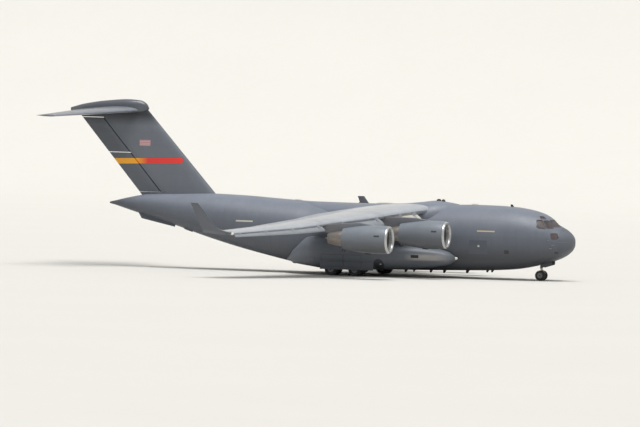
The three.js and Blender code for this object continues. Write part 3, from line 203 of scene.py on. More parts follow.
STRAKE_OUTLINE = [(41.2, 4.75), (41.3, 4.15), (44.9, 4.9), (45.6, 5.95)]
BULLET = table(
    "station half bottom top",
    (44.72, 0.08, 15.8, 15.98),
    (44.95, 0.28, 15.62, 16.36),
    (45.6, 0.48, 15.43, 16.7),
    (46.9, 0.6, 15.34, 16.79),
    (49.2, 0.55, 15.28, 16.62),
    (51.6, 0.4, 15.32, 16.24),
    (53.02, 0.16, 15.5, 15.84),
)
TAILPLANE = table(
    "y lead chord z thick twist",
    (0.0, 45.5, 6.0, 15.72, 0.66, 0),
    (9.9, 51.0, 2.04, 15.0, 0.2, 0),
)
ELEVATOR = {"inner": 0.95, "outer": 9.5, "share": 0.7, "travel": 20}
FAIRING = table(
    "station half top",
    (12.0, 0.8, 7.26),
    (13.0, 2.2, 7.42),
    (14.3, 3.15, 7.55),
    (15.6, 3.4, 7.4),
    (18.0, 3.5, 7.16),
    (22.0, 3.5, 7.08),
    (27.0, 2.9, 7.11),
    (29.0, 1.2, 7.2),
)

# Sizes that only the looks have
HULL_SIDES = 96
MOST_FINISHES = 6
JOINT_GAP = 0.0006
RADOME_GAP = 0.006
PATCH_DEPTH = 0.02
POD_SQUARENESS = 3.2
FIN_SECTIONS = [6.9, 7.2, 7.55, 8.6, 9.8, 11.0, 12.2, 13.4, 14.6, 15.9]
HOLLOW_END = 46.9
# The stretch of the hull that is cut out of each thing that joins it, and how far it is drawn in
HULL_CUTS = {
    "wing": (12.0, 30.0),
    "fairing": (12.0, 32.0, -0.001),
    "pod": (10.5, 31.0),
    "fin": (35.0, 48.3),
}
# How far out from the post the corners of the windows are rounded
PANE_ARC = 2.6
OUTLINE_WIDTH = 0.035
AEROFOIL_CURVE = [{**row, "x": math.sqrt(row["x"])} for row in AEROFOIL]
WING_SECTIONS = [2.2, 3.4, 5.0, 6.5, 8.0, 9.6, 11.5, 13.5, 15.5, 17.5, 19.5, 21.5, 23.5, 25.2]
SPOILERS = {
    "front": 0.62,
    "back": 0.715,
    "spans": [(4.15, 6.45), (6.55, 8.95), (10.15, 13.5), (13.6, 16.9)],
}
LIP_ROWS = 15
# Station, height and chord
LOWER_AERIALS = [
    (17.1, 0.26, 0.34),
    (16.3, 0.2, 0.26),
    (14.5, 0.26, 0.34),
    (13.1, 0.3, 0.36),
    (10.7, 0.3, 0.4),
    (8.7, 0.24, 0.3),
    (8.2, 0.24, 0.3),
]
# Material number, height over the hull, and where it starts and ends along and up
SIDE_PATCHES = [
    (1, 0.006, 5.85, 6.3, 2.6, 2.95),
    (1, 0.006, 1.25, 1.55, 2.74, 2.92),
    (2, 0.004, 8.05, 9.85, 2.5, 3.85),
    (3, 0.02, 8.8, 8.98, 3.2, 3.38),
    (4, 0.006, 7.3, 9.1, 4.7, 4.82),
    (3, 0.006, 32.4, 34.2, 4.93, 5.07),
]
CAMERA = {
    "turn": 0.319585,
    "rise": 0.023635,
    "roll": -0.02397,
    "distance": 645.137,
    "shift": (1.3418, 0.0824),
    "lens": 365.43,
}


def place(station, y, z):
    return Vector(((LENGTH / 2 - station) * SCALE, y * SCALE, z * SCALE))


# Curves through the tables, each of which is ordered by its first column


def through(rows, at, column):
    """A value on a smooth curve through a column."""
    key = next(iter(rows[0]))
    xs = [row[key] for row in rows]
    ys = [row[column] for row in rows]
    if not xs[0] < at < xs[-1]:
        return ys[0] if at <= xs[0] else ys[-1]
    i = sum(x < at for x in xs) - 1

    def slope(k):
        k = min(max(k, 0), len(xs) - 2)
        return (ys[k + 1] - ys[k]) / (xs[k + 1] - xs[k])

    def tangent(k):
        before, after = slope(k - 1), slope(k)
        return 0 if before * after <= 0 else 2 * before * after / (before + after)

    width = xs[i + 1] - xs[i]
    t = (at - xs[i]) / width
    rise = (3 - 2 * t) * t**2
    bend = (1 - t) ** 2 * t * tangent(i) - (1 - t) * t**2 * tangent(i + 1)
    return (1 - rise) * ys[i] + rise * ys[i + 1] + bend * width


def straight(rows, at, column):
    """A value on the straight lines between a column's rows."""
    key = next(iter(rows[0]))
    i = 0
    while i < len(rows) - 2 and at > rows[i + 1][key]:
        i += 1
    low, high = rows[i], rows[i + 1]
    t = (at - low[key]) / (high[key] - low[key])
    return low[column] + t * (high[column] - low[column])


def row_at(rows, at, curve=straight):
    return {column: curve(rows, at, column) for column in rows[0]}


def steps(start, end, pitch):
    count = max(1, math.ceil((end - start) / pitch))
    return [start + (end - start) * i / count for i in range(count + 1)]


def sampled(rows, pitch):
    """Pairs of place and radius along a turned body's smooth outline."""
    return [(at, through(rows, at, "r")) for at in steps(rows[0]["at"], rows[-1]["at"], pitch)]


def circle(count):
    return [2 * math.pi * i / count for i in range(count)]


def bulge(value, power):
    return math.copysign(abs(value) ** power, value)


# Shapes are lists of points and faces. A face is (indices, material number).


class Shape:
    def __init__(self, points=()):
        self.points = list(points)
        self.faces = []

    def join(self, *others):
        for other in others:
            start = len(self.points)
            self.points += other.points
            self.faces += [([start + i for i in face], slot) for face, slot in other.faces]
        return self

    def slot(self, number):
        self.faces = [(face, number) for face, _ in self.faces]
        return self

    def mirrored(self):
        twin = Shape(Vector((p.x, -p.y, p.z)) for p in self.points)
        twin.faces = [(face[::-1], slot) for face, slot in self.faces]
        return twin

    def moved(self, matrix):
        twin = Shape(matrix @ p for p in self.points)
        twin.faces = self.faces
        return twin


def joined(shapes):
    return Shape().join(*shapes)


def pair(shape):
    return [shape, shape.mirrored()]


def loft(rings, caps=True, slots=None):
    count = len(rings[0])
    slots = slots or [0] * len(rings)
    shape = Shape(p for ring in rings for p in ring)
    for r in range(len(rings) - 1):
        for i in range(count):
            a, b = r * count + i, r * count + (i + 1) % count
            shape.faces.append(([a, b, b + count, a + count], slots[r]))
    if caps:
        last = (len(rings) - 1) * count
        shape.faces.append(([*range(count)][::-1], slots[0]))
        shape.faces.append(([last + i for i in range(count)], slots[-1]))
    return shape


def box(s0, s1, y0, y1, z0, z1):
    ring = [(s0, y0), (s1, y0), (s1, y1), (s0, y1)]
    return loft([[place(s, y, z) for s, y in ring] for z in (z0, z1)])


def plate(outline, y0, y1, station=0, height=0):
    """A flat plate across, its outline given as stations and heights from a point."""
    return loft([[place(station + s, y, height + z) for s, z in outline] for y in (y0, y1)])


def rounded(outline, radius, count=5):
    """A flat outline with its corners rounded."""
    result = []
    total = len(outline)
    for i in range(total):
        corner = Vector(outline[i])
        before = Vector(outline[i - 1]) - corner
        after = Vector(outline[(i + 1) % total]) - corner
        reach = min(radius, before.length * 0.45, after.length * 0.45)
        start = corner + before.normalized() * reach
        end = corner + after.normalized() * reach
        for k in range(count + 1):
            t = k / count
            result.append(tuple((1 - t) ** 2 * start + 2 * t * (1 - t) * corner + t**2 * end))
    return result


def turned(profile, sides, axis, centre, slots=None):
    """A body turned about a line aft, up or across. A profile is pairs of place along it and radius."""
    shape = Shape()
    origin = place(*centre)
    rings = []
    for at, r in profile:
        count = 1 if r < 1e-6 else sides
        rings.append((len(shape.points), count))
        w = at * SCALE
        for angle in circle(sides)[:count]:
            u, v = r * math.cos(angle) * SCALE, r * math.sin(angle) * SCALE
            spot = {"aft": (-w, u, v), "up": (u, v, w), "across": (u, w, v)}[axis]
            shape.points.append(origin + Vector(spot))
    for k in range(len(rings) - 1):
        (a, na), (b, nb) = rings[k], rings[k + 1]
        if na == 1 and nb == 1:
            continue
        for i in range(sides):
            j = (i + 1) % sides
            face = [a + i, a + j] if na > 1 else [a]
            face += [b + j, b + i] if nb > 1 else [b]
            shape.faces.append((face, slots[k] if slots else 0))
    return shape


def cylinder(radius, length, sides, axis, centre, edge):
    """A round bar with its edges cut by a bevel."""
    h = length / 2
    rows = [(-h, 0), (-h, radius - edge), (edge - h, radius), (h - edge, radius), (h, radius - edge), (h, 0)]
    return turned(rows, sides, axis, centre)


def rod(a, b, radius, sides=16):
    """A round rod between two model points, its radius in full-size metres."""
    along = (b - a).normalized()
    across = along.orthogonal().normalized() * radius * SCALE
    square = along.cross(across)
    ways = [across * math.cos(angle) + square * math.sin(angle) for angle in circle(sides)]
    return loft([[base + way for way in ways] for base in (a, b)])


def grid_plate(over, under):
    """A closed plate between two grids of points of the same size."""
    rows, columns = len(over), len(over[0])
    half = rows * columns
    shape = Shape(p for grid in (over, under) for row in grid for p in row)
    for a in (r * columns + c for r in range(rows - 1) for c in range(columns - 1)):
        face = [a, a + 1, a + 1 + columns, a + columns]
        shape.faces += [(face, 0), ([half + i for i in face[::-1]], 0)]
    rim = [*range(columns), *range(2 * columns - 1, half, columns)]
    rim += [*range(half - 2, half - columns - 1, -1), *range(half - 2 * columns, 0, -columns)]
    for a, b in zip(rim, rim[1:] + rim[:1]):
        shape.faces.append(([a, half + a, half + b, b], 0))
    return shape


# Objects


def mesh_object(shape, name="work"):
    mesh = bpy.data.meshes.new(name)
    mesh.from_pydata([tuple(p) for p in shape.points], [], [face for face, _ in shape.faces])
    mesh.polygons.foreach_set("material_index", [slot for _, slot in shape.faces])
    work = bmesh.new()
    work.from_mesh(mesh)
    bmesh.ops.recalc_face_normals(work, faces=work.faces)
    work.to_mesh(mesh)
    work.free()
    for _ in range(MOST_FINISHES):
        mesh.materials.append(None)
    made = bpy.data.objects.new(name, mesh)
    bpy.context.scene.collection.objects.link(made)
    return made


def discard(thing):
    mesh = thing.data
    bpy.data.objects.remove(thing)
    bpy.data.meshes.remove(mesh)


def shape_of(thing):
    shape = Shape(v.co.copy() for v in thing.data.vertices)
    shape.faces = [(list(face.vertices), face.material_index) for face in thing.data.polygons]
    return shape


def take_shape(thing):
    """The shape of an object, which goes."""
    shape = shape_of(thing)
    discard(thing)
    return shape


def evaluated_mesh(thing):
    graph = bpy.context.evaluated_depsgraph_get()
    return bpy.data.meshes.new_from_object(thing.evaluated_get(graph))


def settle(thing, mesh):
    """Puts a mesh in place of an object's own one and its modifiers."""
    thing.modifiers.clear()
    old = thing.data
    thing.data = mesh
    bpy.data.meshes.remove(old)


def carve(target, tool, operation="DIFFERENCE"):
    """Cuts an object or shape by another one, which goes, and gives the object."""
    target, tool = (mesh_object(thing) if isinstance(thing, Shape) else thing for thing in (target, tool))
    step = target.modifiers.new("carve", "BOOLEAN")
    step.object = tool
    step.operation = operation
    step.solver = "MANIFOLD"
    result = evaluated_mesh(target)
    if not result.polygons:
        step.solver = "EXACT"
        result = evaluated_mesh(target)
    settle(target, result)
    discard(tool)
    return target


def piece(name, made, finishes, slot=None, moves=False, angle=32, bevel=0.0):
    """Finishes an object or shape. It stands in for the CAD node of its name, where there is one.

    A # in the name stands for the side: the piece is made to port and mirrored to starboard.
    """
    if "#" in name:
        port = made if isinstance(made, Shape) else take_shape(made)
        for side, shape in zip(("left", "right"), pair(port)):
            piece(name.replace("#", side), shape, finishes, slot, moves, angle, bevel)
        return
    thing = mesh_object(made) if isinstance(made, Shape) else made
    if not isinstance(finishes, list):
        finishes = [finishes]
    while len(thing.data.materials) > len(finishes):
        thing.data.materials.pop()
    for i, finish in enumerate(finishes):
        thing.data.materials[i] = finish
    if bevel:
        edge = thing.modifiers.new("edges", "BEVEL")
        edge.width = bevel * SCALE
        edge.segments = 2
        edge.limit_method = "ANGLE"
        edge.angle_limit = math.radians(50)
        edge.use_clamp_overlap = True
        settle(thing, evaluated_mesh(thing))
    thing.name = name
    thing.data.name = name
    thing.data.polygons.foreach_set("use_smooth", [True] * len(thing.data.polygons))
    thing.data.set_sharp_from_angle(angle=math.radians(angle))
    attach(thing, name if moves else "airframe")
    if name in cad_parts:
        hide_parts(name)


# Node materials


def linear(red, green, blue):
    values = []
    for v in (red, green, blue):
        v /= 255
        values.append(v / 12.92 if v <= 0.04045 else ((v + 0.055) / 1.055) ** 2.4)
    return (*values, 1.0)


def sum_node(operation, swapped=False):
    def act(self, other):
        return self.paint.math(operation, *((other, self) if swapped else (self, other)))

    return act


class Num:
    """A number that differs over the surface, as a node's output."""

    def __init__(self, paint, socket):
        self.paint = paint
        self.socket = socket

    __add__ = __radd__ = sum_node("ADD")
    __sub__ = sum_node("SUBTRACT")
    __rsub__ = sum_node("SUBTRACT", True)
    __mul__ = __rmul__ = sum_node("MULTIPLY")
    __truediv__ = sum_node("DIVIDE")
    least = sum_node("MINIMUM")
    most = sum_node("MAXIMUM")
    power = sum_node("POWER")

    def clamp(self):
        return self.paint.math("ADD", self, 0.0, clamp=True)

    def size(self):
        return self.paint.math("ABSOLUTE", self)

    def above(self, edge, soft=0.02):
        return ((self - edge) * (1 / soft) + 0.5).clamp()

    def below(self, edge, soft):
        return ((edge - self) * (1 / soft) + 0.5).clamp()

    def within(self, low, high, soft=0.02):
        return self.above(low, soft) * self.below(high, soft)

    def lines(self, pitch, width):
        """1 on thin lines at each multiple of the pitch, 0 elsewhere."""
        return self.paint.math("PINGPONG", self, pitch / 2).below(width / 2, width * 0.6)

    def cell(self, pitch):
        return self.paint.math("FLOOR", self * (1 / pitch))


def distance(a, b):
    return (a.power(2.0) + b.power(2.0)).power(0.5)


class Paint:
    def __init__(self, name, colour, roughness=0.5, metallic=0.0, **inputs):
        self.material = bpy.data.materials.new(name)
        self.material.use_nodes = True
        self.nodes = self.material.node_tree.nodes
        self.links = self.material.node_tree.links
        self.shader = self.nodes["Principled BSDF"]
        inputs.update(Base_Color=linear(*colour), Roughness=roughness, Metallic=metallic)
        for key, value in inputs.items():
            self.shader.inputs[key.replace("_", " ")].default_value = value
        self.colour = None
        self.base = colour
        split = self.nodes.new("ShaderNodeSeparateXYZ")
        self.links.new(self.nodes.new("ShaderNodeTexCoord").outputs["Object"], split.inputs[0])
        self.s = LENGTH / 2 - Num(self, split.outputs[0]) * (1 / SCALE)
        self.y = Num(self, split.outputs[1]) * (1 / SCALE)
        self.z = Num(self, split.outputs[2]) * (1 / SCALE)
        self.side = self.y.size()

    def put(self, value, socket):
        if isinstance(value, Num):
            self.links.new(value.socket, socket)
        else:
            socket.default_value = value

    def math(self, operation, a, b=None, clamp=False):
        node = self.nodes.new("ShaderNodeMath")
        node.operation = operation
        node.use_clamp = clamp
        self.put(a, node.inputs[0])
        if b is not None:
            self.put(b, node.inputs[1])
        return Num(self, node.outputs[0])

    def around(self, height, out=0.0):
        """The angle round a line that runs fore and aft at a height and so far out on each side."""
        return self.math("ARCTAN2", self.z - height, self.side - out)

    def vector(self, x, y, z):
        node = self.nodes.new("ShaderNodeCombineXYZ")
        for value, socket in zip((x, y, z), node.inputs):
            self.put(value, socket)
        return node.outputs[0]

    def noise(self, scale, detail, stretch=(1, 1, 1), rough=0.55):
        """Soft noise about 0, in full-size metres. Stretch lengthens it along the station, y and z."""
        spot = self.vector(*(v * (scale / k) for v, k in zip((self.s, self.y, self.z), stretch)))
        node = self.nodes.new("ShaderNodeTexNoise")
        self.links.new(spot, node.inputs["Vector"])
        for key, value in (("Scale", 1.0), ("Detail", detail), ("Roughness", rough)):
            node.inputs[key].default_value = value
        return Num(self, node.outputs[0]) - 0.5

    def random(self, first, second=0.0):
        """An even random number about 0 for each cell."""
        node = self.nodes.new("ShaderNodeTexWhiteNoise")
        self.links.new(self.vector(first, second, 0.0), node.inputs["Vector"])
        return Num(self, node.outputs["Value"]) - 0.5

    def hand_on(self, socket):
        """Joins the colour so far to a node's socket."""
        if self.colour is None:
            socket.default_value = linear(*self.base)[: len(socket.default_value)]
        else:
            self.links.new(self.colour, socket)

    def tint(self, colour, mask):
        """Lays a colour over the last one where the mask is 1."""
        node = self.nodes.new("ShaderNodeMix")
        node.data_type = "RGBA"
        self.put(mask, node.inputs[0])
        self.hand_on(node.inputs[6])
        node.inputs[7].default_value = linear(*colour)
        self.colour = node.outputs[2]

    def shade(self, factor):
        """Makes the colour so much lighter or darker."""
        node = self.nodes.new("ShaderNodeVectorMath")
        node.operation = "SCALE"
        self.hand_on(node.inputs[0])
        self.put(factor, node.inputs["Scale"])
        self.colour = node.outputs[0]

    def done(self, rough=None, relief=None, depth=0.004):
        if self.colour is not None:
            self.links.new(self.colour, self.shader.inputs["Base Color"])
        if rough is not None:
            self.links.new(rough.clamp().socket, self.shader.inputs["Roughness"])
        if relief is not None:
            node = self.nodes.new("ShaderNodeBump")
            node.inputs["Strength"].default_value = 0.6
            node.inputs["Distance"].default_value = depth
            self.links.new(relief.socket, node.inputs["Height"])
            self.links.new(node.outputs[0], self.shader.inputs["Normal"])
        return self.material


def frame_mask(paint, s0, s1, z0, z1):
    """The outline of a door or hatch on the side."""
    w = OUTLINE_WIDTH
    grown = paint.s.within(s0 - w, s1 + w) * paint.z.within(z0 - w, z1 + w)
    inside = paint.s.within(s0, s1) * paint.z.within(z0, z1)
    return (grown - inside).clamp()


def weathered(paint, seams, streak, blotch, run):
    """Uneven paint with seams between panels, streaks, and small marks. Gives its relief and streaks."""
    lines, panel = seams
    large = paint.noise(0.45, 4)
    long = paint.noise(1.6, 4, streak)
    small = paint.noise(7.0, 3)
    tone = large * (2 * blotch) + long * (2 * run) + small * 0.12 + 1.0
    paint.shade(tone + panel * 0.04 - lines * 0.09)
    return small * 0.15 - lines * 0.35, long


def seam_grid(paint, *ways):
    """Seams at a pitch and of a width along two ways, and a random number for each panel."""
    (a, pitch_a, width_a), (b, pitch_b, width_b) = ways
    lines = a.lines(pitch_a, width_a).most(b.lines(pitch_b, width_b))
    return lines, paint.random(a.cell(pitch_a), b.cell(pitch_b))


def make_hull_paint():
    paint = Paint("hull_paint", (110, 116, 127), 0.45)
    seams = seam_grid(paint, (paint.s, 1.27, 0.028), (paint.around(4.16), 0.2618, 0.008))
    relief, run = weathered(paint, seams, (1, 1, 5), 0.06, 0.09)
    low = (paint.s - 27.6).most(0.0) * 0.285 + 0.62
    crown = (paint.z - low) / (7.2 - low) * 6.4 + 0.62
    # Painted highlight: the top of the hull is made lighter, and the lower sides a little darker.
    paint.shade(crown.above(5.9, 2.6) * 0.42 + 0.84)
    # Painted shade: the lower hull and belly are made much darker, less so aft.
    paint.shade(1.0 - crown.below(3.2, 2.4) * (0.62 - paint.s.above(26.0, 8.0) * 0.3))
    # Darker, streaked grey towards the bottom: partly grime and partly painted shade.
    paint.tint((66, 67, 70), (paint.z.below(2.2, 2.0) * (run + 0.6)).clamp() * 0.6)
    belly = paint.noise(0.9, 4, (9, 1, 1))
    paint.tint((62, 60, 56), (belly - 0.03).clamp() * paint.z.below(2.2, 1.0) * 2.2)
    for s0, s1, z0, z1 in ((29.55, 30.5, 2.15, 4.1), (14.1, 14.75, 5.0, 5.9)):
        outline = frame_mask(paint, s0, s1, z0, z1)
        paint.tint((70, 73, 78), outline * 0.4)
        relief = relief - outline * 0.4
    rough = run * 0.25 + paint.noise(3.0, 3) * 0.2 + 0.45
    return paint.done(rough, relief)


def make_radome_paint():
    paint = Paint("radome_paint", (95, 100, 109), 0.55)
    relief = paint.noise(9.0, 3) * 0.2
    around = paint.math("ARCTAN2", paint.z - 3.86, paint.y)
    strips = around.lines(0.7854, 0.035) * paint.s.above(0.35, 0.05)
    paint.shade(paint.noise(0.9, 4) * 0.16 + paint.noise(8.0, 3) * 0.1 + 1.0)
    # Painted shade: the underside of the radome is made darker.
    paint.shade(1.0 - paint.z.below(3.4, 2.2) * 0.42)
    paint.tint((124, 126, 126), strips * 0.35)
    chips = (paint.noise(16.0, 2) - 0.19).clamp() * 8.0 * paint.s.below(0.8, 0.8)
    paint.tint((150, 150, 146), chips.clamp() * 0.6)
    return paint.done(paint.noise(4.0, 3) * 0.2 + 0.52, relief + strips * 0.8, 0.003)


def make_wing_paint(name="wing_paint", colour=(170, 175, 182), root=False):
    """Seams along the span follow the sweep of the wing."""
    paint = Paint(name, colour, 0.45, Coat_Weight=0.8, Coat_Roughness=0.2)
    seams = seam_grid(paint, (paint.side, 1.3, 0.025), (paint.s - paint.side * 0.46, 1.15, 0.025))
    relief, run = weathered(paint, seams, (7, 1, 1), 0.07, 0.13)
    soot = paint.noise(0.8, 4, (6, 1, 1))
    behind = paint.side.within(6.3, 8.2, 0.9).most(paint.side.within(13.1, 15.1, 0.9))
    paint.tint((72, 70, 67), (soot * 1.4 + 0.28).clamp() * behind * 0.4)
    # Painted shade: the winglet, beyond the tip, is made darker.
    paint.tint((80, 85, 94), paint.side.above(24.95, 0.2))
    if root:
        paint.tint((206, 200, 186), paint.side.below(6.5, 0.05) * (run + 0.9).clamp())
    return paint.done(run * 0.3 + 0.42, relief)


def make_tail_paint(name="tail_paint", colour=(112, 118, 127), fin=True):
    paint = Paint(name, colour, 0.48, Coat_Weight=0.0 if fin else 0.6, Coat_Roughness=0.2)
    up = paint.z
    seams = seam_grid(paint, (up, 1.35, 0.028), (paint.s - up * 0.86, 1.9, 0.028))
    relief, run = weathered(paint, seams, (1, 1, 5), 0.05, 0.08)
    if not fin:
        # Painted shade: the aft part of each half, with its elevator, is made darker, so that only the front
        # looks lit.
        share = (paint.s - 45.5 - paint.side * 0.5556) / (6.0 - paint.side * 0.4)
        paint.tint((88, 93, 101), share.above(0.42, 0.3) * paint.side.above(0.75, 0.1) * 0.8)
        return paint.done(run * 0.25 + 0.44, relief)
    paint.shade(0.84 - (paint.s - up * 0.8696).above(36.6, 1.6) * 0.24)
    # Painted shadow of the tailplane: the top of the fin is made much darker.
    paint.shade(1.0 - up.above(14.7, 1.1) * 0.8)
    tilt = up - (44.5 - paint.s) * 0.03
    nose = distance((paint.s - 41.15).least(0.0), tilt - 10.66)
    band = nose.below(0.29, 0.03) * tilt.within(10.37, 10.95, 0.03)
    paint.tint((238, 164, 40), band)
    paint.tint((222, 56, 50), band * paint.s.below(45.2, 1.2))
    rim = (nose.below(0.335, 0.03) * tilt.within(10.325, 10.995, 0.03) - band).clamp()
    paint.tint((60, 55, 55), rim * 0.6)
    patch = paint.s.within(44.35, 45.5) * up.within(12.15, 12.72)
    paint.tint((186, 172, 176), patch)
    paint.tint((178, 112, 114), patch * up.lines(0.16, 0.08))
    return paint.done(run * 0.25 + 0.46, relief)


def make_engine_paint():
    paint = Paint("engine_paint", (112, 118, 126), 0.42)
    inboard = paint.side.below(10.7, 0.05)
    middle_z = 3.9 + inboard * 0.45
    at = paint.s - (14.5 - inboard * 3.65)
    around = paint.around(middle_z, 14.1 - inboard * 6.85)
    lines = (around + math.pi / 2).size().below(0.012, 0.012)
    for start, soft in ((0.28, 0.012), (1.62, 0.015), (2.95, 0.015), (4.2, 0.015)):
        lines = lines.most(at.within(start, start + 0.03, soft))
    lines = lines.most(around.lines(0.7854, 0.014) * at.within(1.63, 2.96, 0.02))
    panel = paint.random(at.cell(1.32), around.cell(0.7854))
    relief, run = weathered(paint, (lines, panel), (5, 1, 1), 0.05, 0.09)
    vent = at.within(0.75, 1.3) * around.within(0.2, 0.32, 0.03)
    paint.tint((44, 46, 50), vent * 0.9)
    low = (middle_z - paint.z).above(0.5, 1.0)
    # Painted highlight on the top of the cowl and painted shade under it.
    paint.shade((paint.z - middle_z).above(0.5, 1.6) * 0.32 + 0.9)
    paint.shade(1.0 - (middle_z - paint.z).above(0.7, 1.3) * 0.62)
    paint.tint((66, 62, 58), (paint.noise(1.2, 4, (7, 1, 1)) + 0.12).clamp() * low * 1.3)
    return paint.done(run * 0.25 + 0.4, relief)


def make_pylon_paint():
    paint = Paint("pylon_paint", (108, 113, 121), 0.48)
    at = paint.s - paint.side * 0.533
    seams = (at.lines(1.1, 0.028).most(paint.z.lines(0.62, 0.025)), paint.random(at.cell(1.1)))
    relief, run = weathered(paint, seams, (6, 1, 1), 0.06, 0.12)
    heat = at.above(11.6, 2.2)
    paint.tint((98, 90, 82), (paint.noise(1.4, 4, (5, 1, 1)) + 0.4).clamp() * heat * 0.8)
    return paint.done(run * 0.25 + 0.47, relief)


def make_pod_paint():
    # The pod's grey is darker than the hull's, as painted shade.
    paint = Paint("pod_paint", (96, 101, 109), 0.5)
    seams = seam_grid(paint, (paint.s, 1.6, 0.028), (paint.z, 0.82, 0.025))
    relief, run = weathered(paint, seams, (5, 1, 2), 0.07, 0.12)
    # Painted highlight along the top of the pod and painted shade along its bottom.
    paint.shade(paint.z.above(3.1, 1.2) * 0.25 + 1.12 - paint.z.below(1.4, 1.4) * 0.3)
    side = paint.side
    for s0, s1, z0, z1 in ((20.2, 22.0, 0.9, 2.05), (22.1, 24.3, 0.9, 2.05), (25.0, 26.0, 0.75, 1.7)):
        outline = frame_mask(paint, s0, s1, z0, z1) * side.above(4.5)
        paint.tint((46, 47, 50), outline * 0.6)
        relief = relief - outline * 0.5
    # A pale streak along the front of the pod: partly a stain and partly a painted highlight.
    stain_and_highlight = (paint.noise(1.1, 4, (6, 1, 1)) + 0.55).clamp()
    front = paint.s.within(12.2, 15.4, 1.2) * paint.z.within(1.75, 2.3, 0.25) * side.above(2.8, 0.6)
    paint.tint((196, 190, 184), stain_and_highlight * front * 0.9)
    paint.tint((34, 34, 36), paint.s.within(14.55, 15.3) * paint.z.within(1.95, 2.25) * side.above(3.5))
    # Painted shade: a dark round patch on the side of the pod stands in for an opening that is not modelled.
    lip = distance(paint.s - 18.45, paint.z - 1.25)
    paint.tint((38, 40, 44), lip.below(0.5, 0.06) * side.above(4.0) * 0.85)
    return paint.done(run * 0.25 + 0.48, relief)


def make_plain(name, colour, roughness, metallic, grain, vary, wear=None):
    """A surface with fine unevenness, stains and, where given, worn spots of another colour."""
    paint = Paint(name, colour, roughness, metallic)
    fine = paint.noise(grain * 3, 4)
    broad = paint.noise(grain, 4)
    paint.shade(broad * (2 * vary) + fine * vary + 1.0)
    if wear:
        paint.tint(wear, ((paint.noise(grain * 1.7, 5, rough=0.7) - 0.1) * 6).clamp() * 0.7)
    return paint.done(broad * 0.3 + roughness, fine, 0.0015)


def make_lip_metal():
    paint = Paint("lip_metal", (186, 187, 187), 0.42, 0.55)
    scratches = paint.noise(6.0, 4, (1, 8, 8))
    paint.shade(scratches * 0.3 + paint.noise(2.0, 3) * 0.2 + 1.0)
    return paint.done(scratches * 0.4 + 0.3, paint.noise(30.0, 2) * 0.3, 0.001)


def make_core_metal():
    paint = Paint("core_metal", (150, 146, 142), 0.4, 0.75)
    heat = paint.noise(1.8, 4, (5, 1, 1))
    paint.tint((112, 98, 86), (heat * 2.2 + 0.5).clamp() * 0.6)
    paint.tint((70, 72, 84), ((paint.noise(3.0, 3, (2, 1, 1)) - 0.05) * 5).clamp() * 0.4)
    rings = paint.s.lines(0.52, 0.02)
    paint.shade(paint.noise(9.0, 4) * 0.3 - rings * 0.25 + 1.0)
    return paint.done(heat * 0.4 + 0.45, paint.noise(20.0, 3) * 0.3 - rings, 0.002)


def make_fan_metal():
    paint = Paint("fan_metal", (96, 98, 102), 0.34, 0.85)
    paint.shade(paint.noise(8.0, 4) * 0.3 + paint.noise(40.0, 3) * 0.15 + 1.0)
    return paint.done(paint.noise(10.0, 3) * 0.3 + 0.36, paint.noise(50.0, 2) * 0.3, 0.0008)


def make_tyre():
    paint = Paint("tyre", (52, 53, 56), 0.84)
    dust = paint.noise(5.0, 4)
    paint.shade(paint.noise(24.0, 3) * 0.3 + 1.0)
    paint.tint((92, 88, 80), (dust * 1.6 + 0.2).clamp() * 0.5)
    return paint.done(dust * 0.2 + 0.85, paint.noise(60.0, 3), 0.0015)


def make_glass():
    paint = Paint("glass", (70, 67, 69), 0.3, 0.0, Specular_IOR_Level=0.12)
    paint.tint((128, 110, 106), (paint.noise(1.6, 3) * 2.0 + 0.4).clamp() * 0.6)
    return paint.done(paint.noise(12.0, 3) * 0.08 + 0.3, paint.noise(18.0, 2) * 0.2, 0.0006)


def make_deck_metal():
    """The hold's floor: panels, roller rows and tie-down rings along it."""
    paint = Paint("deck_metal", (112, 112, 108), 0.5, 0.6)
    panels = paint.s.lines(1.0, 0.03).most(paint.y.lines(0.51, 0.025))
    ring_s = paint.math("PINGPONG", paint.s, 0.25)
    ring_y = paint.math("PINGPONG", paint.y, 0.255)
    rings = distance(ring_s, ring_y).below(0.05, 0.02)
    wear = paint.noise(2.5, 5, (3, 1, 1))
    paint.shade(wear * 0.5 - panels * 0.35 + 1.0)
    paint.tint((44, 44, 44), rings * 0.8)
    return paint.done(wear * 0.4 + 0.5, wear * 0.2 - panels - rings, 0.004)


def make_cabin_paint():
    paint = Paint("cabin_paint", (126, 132, 126), 0.65)
    rings = paint.s.lines(0.6, 0.06)
    rows = paint.z.lines(0.9, 0.03)
    stain_and_highlight = paint.noise(1.3, 4)
    paint.shade(stain_and_highlight * 0.22 - rings * 0.12 + paint.noise(14.0, 3) * 0.1 + 1.0)
    return paint.done(stain_and_highlight * 0.2 + 0.64, rings - rows * 0.5, 0.008)


def make_gear_paint():
    paint = Paint("gear_paint", (196, 197, 194), 0.38, 0.1)
    grease = paint.noise(5.0, 4, (1, 1, 3))
    paint.shade(paint.noise(14.0, 3) * 0.12 + 1.0)
    paint.tint((74, 66, 56), ((grease - 0.02) * 3.5).clamp() * 0.65)
    return paint.done(grease * 0.4 + 0.4, paint.noise(30.0, 3), 0.001)


hull_paint = make_hull_paint()
radome_paint = make_radome_paint()
# Wing and slats are given lighter greys than the hull's: a painted highlight of the sky on them.
wing_paint = make_wing_paint()
slat_paint = make_wing_paint("slat_paint", (142, 147, 154), True)
tail_paint = make_tail_paint()
